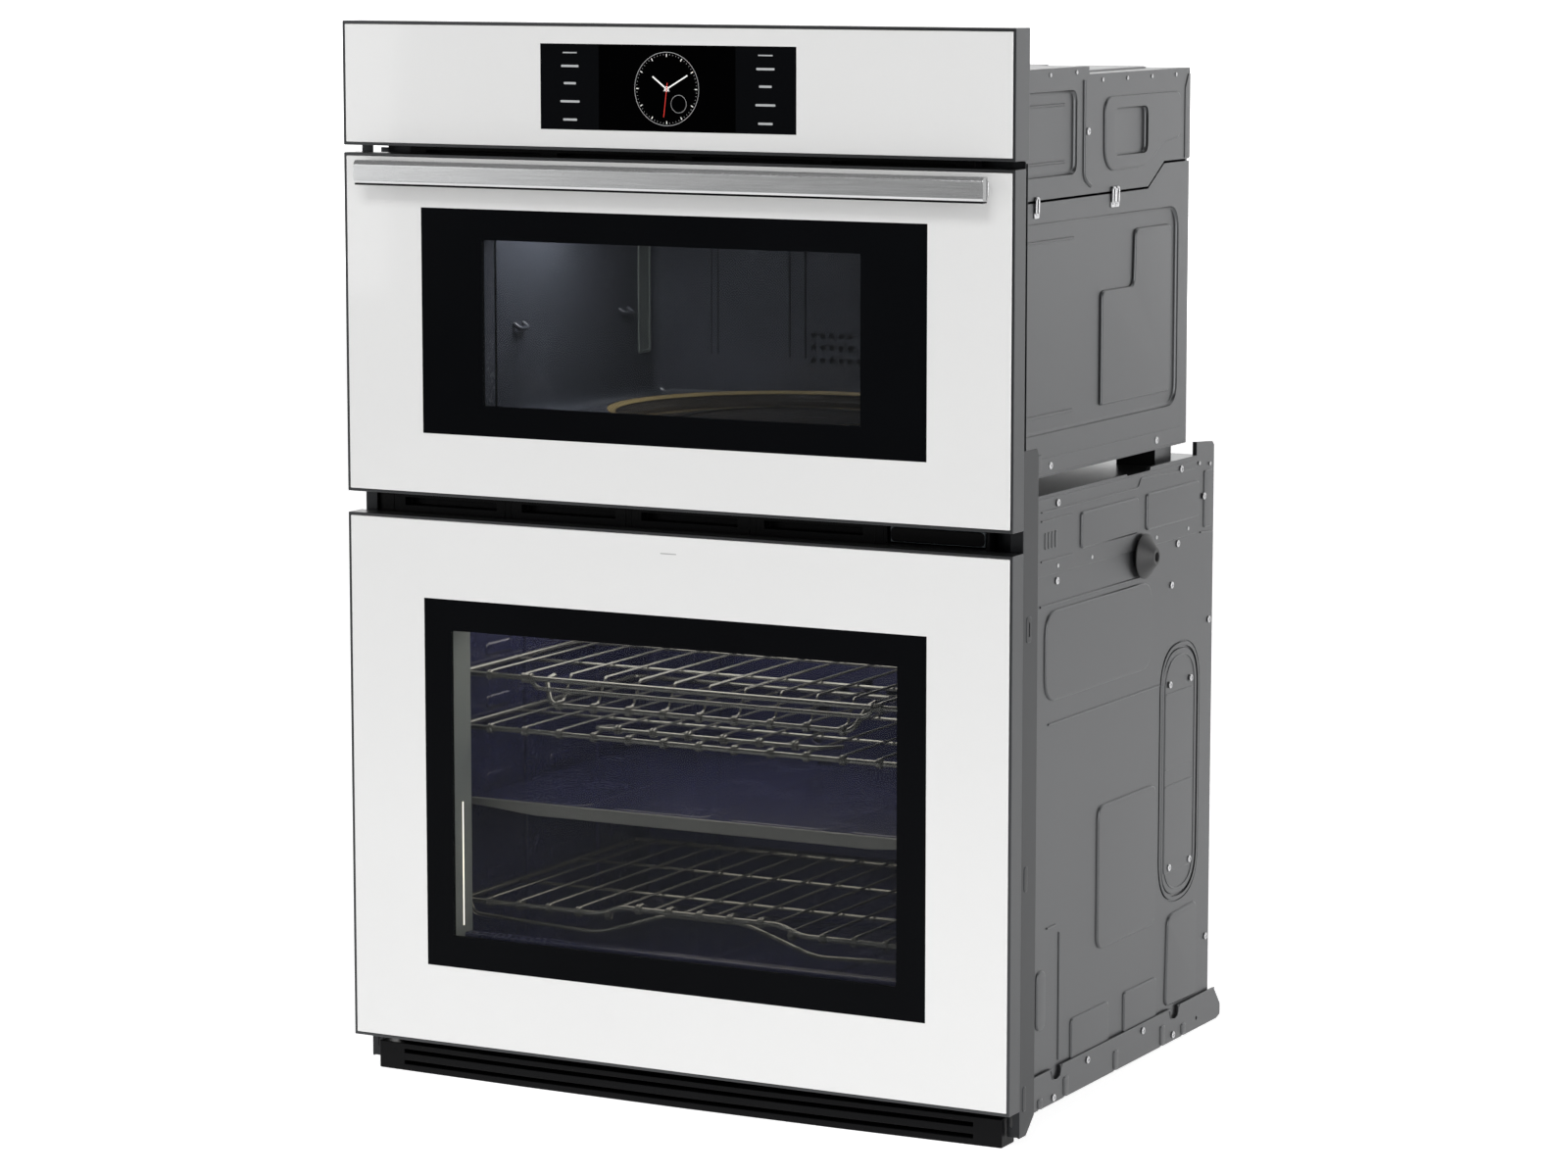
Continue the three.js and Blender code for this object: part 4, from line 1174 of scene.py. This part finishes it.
def hollowBox(half, low, high, front, back, wall, corner, roll):
    mantle = box2((-half - wall, low - wall), (half + wall, high + wall))
    middle = (front + back + wall) / 2
    outer = plate(mantle, "y", middle, back + wall - front, corner + wall, 0.6, 8)
    inner = plate(box2((-half, low), (half, high)), "y", back - 400, 800, corner, roll, 8)
    return carve(outer, inner)


def makeOven():
    o = ovenSet
    liner = hollowBox(o["half"], o["low"], o["high"], o["front"], o["back"], o["wall"], o["corner"], 12)
    ribs = []
    for side in (-1, 1):
        wall = side * (o["half"] + 0.4)
        for level in o["guides"]:
            z = level - o["guideDrop"]
            ribs.append(bentRod([(wall, 122, z), (wall - side * 1.2, 130, z), (wall - side * 1.2, 466, z),
                                 (wall, 474, z)], 3.4, 4))
            for y in (150, 280, 410):
                ribs.append(plate(box2((y - 26, z + 14), (y + 26, z + 28)), "x", wall, 4.4, 6.8, 2.1, 6))
        for y in (205, 355):
            line = [(wall, y, 470), (wall - side, y, 462), (wall - side, y, 96), (wall, y, 86)]
            ribs.append(bentRod(line, 2.6, 5))
    for x in (-235, -205, 205, 235):
        ribs.append(bentRod([(x, o["back"] + 0.5, 470), (x, o["back"] - 0.8, 460), (x, o["back"] - 0.8, 95),
                             (x, o["back"] + 0.5, 85)], 3.0, 5))
    for x in (-150, 0, 150):
        ribs.append(relief(box2((x - 60, 110), (x + 60, 440)), "z", o["low"], 2.2, 20))
    settle(together([liner] + ribs), "ovenLiner", "carcass", finish["navyEnamel"], "navy_enamel",
           "lower_cavity")
    lip = plate(box2((-o["half"] - 0.1, o["low"] - 0.1), (o["half"] + 0.1, o["high"] + 0.1)), "y",
                sum(o["lipDepth"]) / 2, o["lipDepth"][1] - o["lipDepth"][0], o["corner"], 0.4, 8)
    carve(lip, plate(box2((-o["half"] + 0.9, o["low"] + 0.9), (o["half"] - 0.9, o["high"] - 0.9)), "y",
                     70, 120, o["corner"] - 1, 0, 8))
    settle(lip, "ovenLip", "carcass", finish["lipSteel"], "navy_enamel")
    lens = slab((-289.6, 76, 107), (-287.4, 83, 239))
    roundEdges(lens, 1.0, 4)
    settle(lens, "ovenLamp", "carcass", finish["lampGlass"], "clear_glass", "oven_lamp")
    rim = plate(box2((73, 104), (86, 242)), "x", -288.9, 1.6, 4, 0.6)
    carve(rim, plate(box2((75.6, 106.6), (83.4, 239.4)), "x", -289, 8, 3, 0))
    settle(rim, "ovenLampRim", "carcass", finish["chromeWire"], "navy_enamel")
    settleReworked("fan_cover", "fanCover", "carcass", "navyEnamel", "navy_enamel", 1.6, 3)
    # woven seal round the oven mouth
    seal = bentRod([(-303, 48, 47), (303, 48, 47), (303, 48, 503), (-303, 48, 503)], 6.0, 24, True, 3)
    middle = spot(0, 48, 0)
    flatten = Matrix.Diagonal((1, 0.27, 1, 1))
    seal.data.transform(Matrix.Translation(middle) @ flatten @ Matrix.Translation(-middle))
    settle(seal, "ovenSeal", "carcass", finish["braid"], "insulation", "door_gasket")


makeOven()
print("lower oven done")

# ---- racks ----
rackSet = {
    "half": 283.4, "front": 63, "back": 430, "rod": 2.9, "wire": 1.45, "crossRod": 2.1,
    "coil": 1.3, "coilTurn": 4.2, "coilHalf": 1.9, "crossings": (175, 305),
}


def makeCoil():
    bpy.ops.mesh.primitive_torus_add(major_radius=rackSet["coilTurn"] * mm, minor_radius=rackSet["coil"] * mm,
                                     major_segments=14, minor_segments=6, rotation=(0, math.radians(90), 0))
    return applyPlace(bpy.context.object)


def coils(places):
    twin = []
    for x, y, z in places:
        twin += [(x + shift, y, z) for shift in (-rackSet["coilHalf"], rackSet["coilHalf"])]
    return stamped(coilMaster, twin)


def rackWire(x, frontLevel, level):
    r = rackSet
    top = level + 3.3
    route = [(x, r["front"] + 4.5, frontLevel - 3.9), (x, r["front"] - 4.0, frontLevel - 2.6),
             (x, r["front"] - 3.6, frontLevel + 4.0), (x, r["front"] + 9, frontLevel + 4.4)]
    if abs(frontLevel - level) > 1:
        route.append((x, r["front"] + 24, top))
    route += [(x, r["back"] - 6, top), (x, r["back"] + 3.2, level + 2.4), (x, r["back"] + 2.4, level - 2.8)]
    return bentRod(route, r["wire"], 3, False, 1)


def rackBase(level, count, pitch, frontLevel, route=None):
    # outer frame, cross rods, wires with their coils
    r = rackSet
    front = route or []
    loop = [(-r["half"], r["back"], level), (-r["half"], r["front"], level)] + front
    loop += [(r["half"], r["front"], level), (r["half"], r["back"], level)]
    parts = [bentRod(loop, r["rod"], 9, True, 2)]
    for y in r["crossings"]:
        parts.append(bentRod([(x, y, level - 0.4) for x in (-r["half"], r["half"])], r["crossRod"]))
    xs = [(k - (count - 1) / 2) * pitch for k in range(count)]
    for x in xs:
        parts.append(rackWire(x, frontLevel(x), level))
    parts.append(coils([(x, r["front"], frontLevel(x)) for x in xs]))
    parts.append(coils([(s * (r["half"] - 5), r["front"], level) for s in (-1, 1)]))
    return parts


def makeRacks():
    r = rackSet
    # gliding rack: its pull rod hangs below the front rod
    level = 382
    parts = rackBase(level, 13, 41, lambda x: level - 26 if abs(x) < 172 else level)
    pull = [(-199, r["front"], level), (-191, r["front"] - 1, level - 10),
            (191, r["front"] - 1, level - 10), (199, r["front"], level)]
    parts.append(bentRod(pull, 2.4, 7))
    drop = [(-186, 90, level), (-186, 74, level - 2), (-174, r["front"], level - 26),
            (174, r["front"], level - 26), (186, 74, level - 2), (186, 90, level)]
    parts.append(bentRod(drop, r["rod"], 9))
    parts.append(coils([(s * 199, r["front"], level) for s in (-1, 1)]))
    settle(together(parts), "upperRack", "upper_rack", finish["chromeWire"], "chrome_wire", "upper_rack")
    level = 326
    parts = rackBase(level, 13, 41, lambda x: level)
    stop = [(-134, 120, level + 2), (-130, 78, level + 7), (130, 78, level + 7), (134, 120, level + 2)]
    parts.append(bentRod(stop, 2.4, 8))
    parts.append(coils([((k - 2.5) * 41, 78, level + 7) for k in range(6)]))
    settle(together(parts), "middleRack", "middle_rack", finish["chromeWire"], "chrome_wire", "middle_rack")
    level = 142
    lift = [(-117, r["front"], level), (-94, r["front"], level + 9), (94, r["front"], level + 9),
            (117, r["front"], level)]
    parts = rackBase(level, 15, 35.5, lambda x: level + 9 if abs(x) < 96 else level, lift)
    parts.append(bentRod([(-r["half"], 78, level), (-r["half"] + 6, 76, level - 17), (-127, 76, level - 23),
                          (-46, 76, level + 3), (46, 76, level + 3), (127, 76, level - 23),
                          (r["half"] - 6, 76, level - 17), (r["half"], 78, level)], 2.2, 14))
    settle(together(parts), "lowerRack", "lower_rack", finish["chromeWire"], "chrome_wire", "lower_rack")
    # enamelled tray, pressed pads, and the pale lip whose middle hangs lower
    tray = slab((-r["half"] - 2, 66.2, 244.3), (r["half"] + 2, 430, 246.3))
    roundEdges(tray, 0.8, 2)
    pads = [plate(box2((x - 58, 95), (x + 58, 400)), "z", 245.4, 3.0, 16, 1.4) for x in (-210, -70, 70, 210)]
    settle(together([tray] + pads), "dividerTray", "divider", finish["navyEnamel"], "grey_enamel",
           "divider_plate")
    lip = [(286, 244.4), (258, 243.6), (196, 238.2), (-196, 238.2), (-258, 243.6), (-286, 244.4),
           (-286, 251.6), (286, 251.6)]
    strip = plate(lip, "y", 64.1, 4.0, 6, 1.2, 6)
    settle(strip, "dividerLip", "divider", finish["dividerEnamel"], "grey_enamel")


coilMaster = makeCoil()
makeRacks()
bpy.data.objects.remove(coilMaster)
print("racks done")

# ---- microwave: cavity, perforations, turntable ----
microSet = {
    "half": 250, "low": 640, "high": 880, "front": 50, "back": 420, "wall": 1.5, "corner": 20,
    "hole": 3.4, "pitch": 11, "holeLeft": -55, "holeRows": (688, 702, 715),
}


def perforations():
    # U-shaped field of holes on the back wall
    m = microSet
    places = [(m["holeLeft"] + k * m["pitch"], z) for z in m["holeRows"] for k in range(24)
              if not (z > 690 and 4 < k < 19)]
    places += [(m["holeLeft"] + k * m["pitch"], 728 + row * 13) for row in range(8) for k in (6, 7, 16, 17)]
    drills = [roundBar((x, m["back"] - 12, z), (x, m["back"] + 9, z), m["hole"], 10) for x, z in places]
    return together(drills)


def makeMicrowave():
    m = microSet
    shell = hollowBox(m["half"], m["low"], m["high"], m["front"], m["back"], m["wall"], m["corner"], 10)
    carve(shell, perforations())
    ribs = []
    for x in (-181, -173, -85, -66):
        ribs.append(bentRod([(x, m["back"] + 0.4, 862), (x, m["back"] - 0.6, 852), (x, m["back"] - 0.6, 700),
                             (x, m["back"] + 0.4, 690)], 2.0, 4))
    for side in (-1, 1):
        for y in (130, 350):
            hook = [(side * m["half"], y - 9, 742), (side * (m["half"] - 7), y - 9, 737),
                    (side * (m["half"] - 7), y + 9, 737), (side * m["half"], y + 9, 742)]
            ribs.append(bentRod(hook, 2.6, 4))
    ribs.append(relief([(-230, 70), (230, 70), (230, 405), (-230, 405)], "z", m["low"], 1.4, 60))
    ribs.append(relief(box2((-180, 110), (40, 360)), "z", m["high"], 3.0, 30))
    settle(together([shell] + ribs), "microLiner", "carcass", finish["greyEnamel"], "grey_enamel",
           "microwave_cavity")
    # pressed air slot on the left wall; its rim gets a pale finish, a painted highlight along the slot's
    # outline
    slot = plate(box2((381, 690), (408, 862)), "x", -m["half"] + 0.7, 2.2, 5, 0.9, 6)
    carve(slot, plate(box2((384, 693), (405, 859)), "x", -m["half"] + 1.9, 2.4, 3.5, 0.5, 6))
    settle(slot, "microSlotRimHighlight", "carcass", finish["lipSteel"], "grey_enamel")
    cover = plate(box2((150, 720), (250, 800)), "x", m["half"] - 0.8, 1.8, 8, 0.7)
    settle(cover, "waveCover", "carcass", finish["fibre"], "grey_enamel")
    disc = [(0.0, 0.0), (0.0, 26), (1.2, 27), (1.6, 150), (3.6, 168), (10.5, 176), (12.6, 179.4),
            (14.0, 179.6), (14.4, 178.0), (11.8, 172.5), (5.6, 164.5), (4.6, 150), (4.0, 40), (3.8, 0.0)]
    tray = turned(disc, (0, 240, 641.1), "z", 96)
    hub = turned([(0.0, 0.0), (0.0, 9), (6.0, 9), (6.6, 14), (7.6, 14), (7.6, 0.0)], (0, 240, 634.5), "z", 32)
    settle(together([tray, hub]), "turntable", "turntable", finish["platterGlass"], "clear_glass",
           "turntable_plate")
    rim = turned([(0.0, 173.0), (2.8, 179.75), (3.7, 179.9), (3.7, 179.2), (1.0, 171.6), (0.0, 173.0)],
                 (0, 240, 652.2), "z", 96)
    settle(rim, "turntableRim", "turntable", finish["platterRim"], "clear_glass")
    settleReworked("roller_ring", "rollerRing", "roller_ring", "blackMould", "black_plastic", 0.4)


makeMicrowave()
print("microwave done")


# ---- insides of the doors ----
def windowChannels(outer, depth, height):
    # a pair of upright channels at the window's two edges
    inner = outer - 4.6
    channels = []
    for low, high in ((-outer, -inner), (inner, outer)):
        channels.append(slab((low, depth[0], height[0]), (high, depth[1], height[1])))
    for channel in channels:
        roundEdges(channel, 0.7, 3)
    return together(channels)


def makeDoorInsides():
    liner = reworked("lower_door_liner", 2.4, 3)
    lips = [relief(box2((x - 34, 70), (x + 34, 480)), "y", 45.4, 0.9, 14) for x in (-300, 300)]
    for lip in lips:
        lip.data.transform(Matrix.Translation((0, -0.4 * mm, 0)))
    settle(together([liner] + lips), "ovenDoorLiner", "lower_door", finish["navyEnamel"], "navy_enamel",
           "lower_door_liner")
    pane = slab((-275.4, 41.6, 102.6), (275.4, 45.3, 455.4))
    roundEdges(pane, 0.8, 3)
    settle(pane, "ovenInnerPane", "lower_door", finish["innerPane"], "clear_glass", "lower_door_inner_glass")
    # side channels of the glass pack, seen at the edges of the window
    channels = windowChannels(262, (7.5, 41.2), (104, 452))
    settle(channels, "paneChannels", "lower_door", finish["lipSteel"], "galvanised")
    # painted reflection: a thin glowing strip on the door's side channel stands for the oven lamp's
    # reflection
    lampReflectionStrip = slab((-257.5, 22.6, 124), (-256.9, 24.4, 254))
    roundEdges(lampReflectionStrip, 0.2, 2)
    settle(lampReflectionStrip, "paintedLampReflection", "lower_door", finish["lampGlass"], "clear_glass")
    clips = [plate(box2((x - 16, z - 7), (x + 16, z + 7)), "y", 46.6, 1.4, 3, 0.5)
             for x in (-170, 0, 170) for z in (97, 461)]
    settle(together(clips), "paneClips", "lower_door", finish["lipSteel"], "galvanised")
    heads = stamped(bigScrew, [(x, 46, z) for x in (-318, 318) for z in (40, 276, 512)], turnTo["back"])
    settle(heads, "ovenDoorScrews", "lower_door", finish["screwZinc"], "galvanised")
    choke = reworked("upper_door_choke_panel", 2.0, 3)
    settle(choke, "microDoorPanel", "upper_door", finish["blackMould"], "grey_enamel",
           "upper_door_choke_panel")
    screen = slab((-221, 30, 662), (221, 30.8, 844))
    roundEdges(screen, 0.2, 1)
    settle(screen, "microScreen", "upper_door", finish["screenMesh"], "grey_enamel")
    channels = windowChannels(222, (7.5, 29.7), (655, 851))
    settle(channels, "screenChannels", "upper_door", finish["greyEnamel"], "grey_enamel")
    film = slab((-229.3, 43.1, 653.7), (229.3, 44.9, 852.3))
    roundEdges(film, 0.4, 2)
    settle(film, "microInnerPane", "upper_door", finish["innerPane"], "clear_glass",
           "upper_door_inner_screen")
    hookLine = [(44, 700), (58, 700), (62, 703), (62, 712), (57, 713), (56, 709), (44, 709)]
    hooks = [plate(hookLine, "x", x, 4, 1, 0.8) for x in (-288, 288)]
    settle(together(hooks), "doorLatches", "upper_door", finish["blackMould"], "black_plastic")


makeDoorInsides()
print("door insides done")


# ---- remaining ironwork keeps its shape, with broken edges ----
ironwork = [
    ("base_pan", 0.5, "galvanised"), ("deck_panel", 0.4, "galvanised"), ("terminal_box", 1.0, "galvanised"),
    ("front_frame", 0.3, "grey_trim"),
    ("lower_hinge_left", 0.5, "galvanised"), ("lower_hinge_right", 0.5, "galvanised"),
    ("upper_hinge_left", 0.5, "galvanised"), ("upper_hinge_right", 0.5, "galvanised"),
]


def makeIronwork():
    for node, width, slotName in ironwork:
        look = "trimSteel" if slotName == "grey_trim" else "galvanised"
        words = node.split("_")
        name = words[0] + "".join(w.title() for w in words[1:])
        piece = reworked(node, width)
        if node == "front_frame":
            # slots for the door's latch hooks
            for x in (-288, 288):
                carve(piece, slab((x - 4, 40, 696), (x + 4, 60, 720)))
        settle(piece, name, "carcass", finish[look], slotName, node)


makeIronwork()
print("ironwork done")

# ---- nodes that stay as they are get the finish of their slot ----
slotLooks = {
    "galvanised": "galvanised", "grey_trim": "trimSteel", "black_plastic": "blackMould",
    "rubber_black": "rubber", "navy_enamel": "navyEnamel", "grey_enamel": "greyEnamel",
    "insulation": "fibre", "heater_sheath": "heater", "cast_metal": "cast", "clear_glass": "innerPane",
    "white_glass": "whiteGlass", "edge_metal": "edgeMetal", "brushed_steel": "brushedBar",
    "chrome_wire": "chromeWire", "board": "board", "tank_plastic": "tank",
}
for node in nodes.values():
    if node.hide_render:
        continue
    slotName = node.data.materials[0].name.split(".")[0]
    node.data.materials[0] = finish[slotLooks[slotName]]
for master in (bigScrew, smallScrew):
    bpy.data.objects.remove(master)
print("remaining nodes finished")
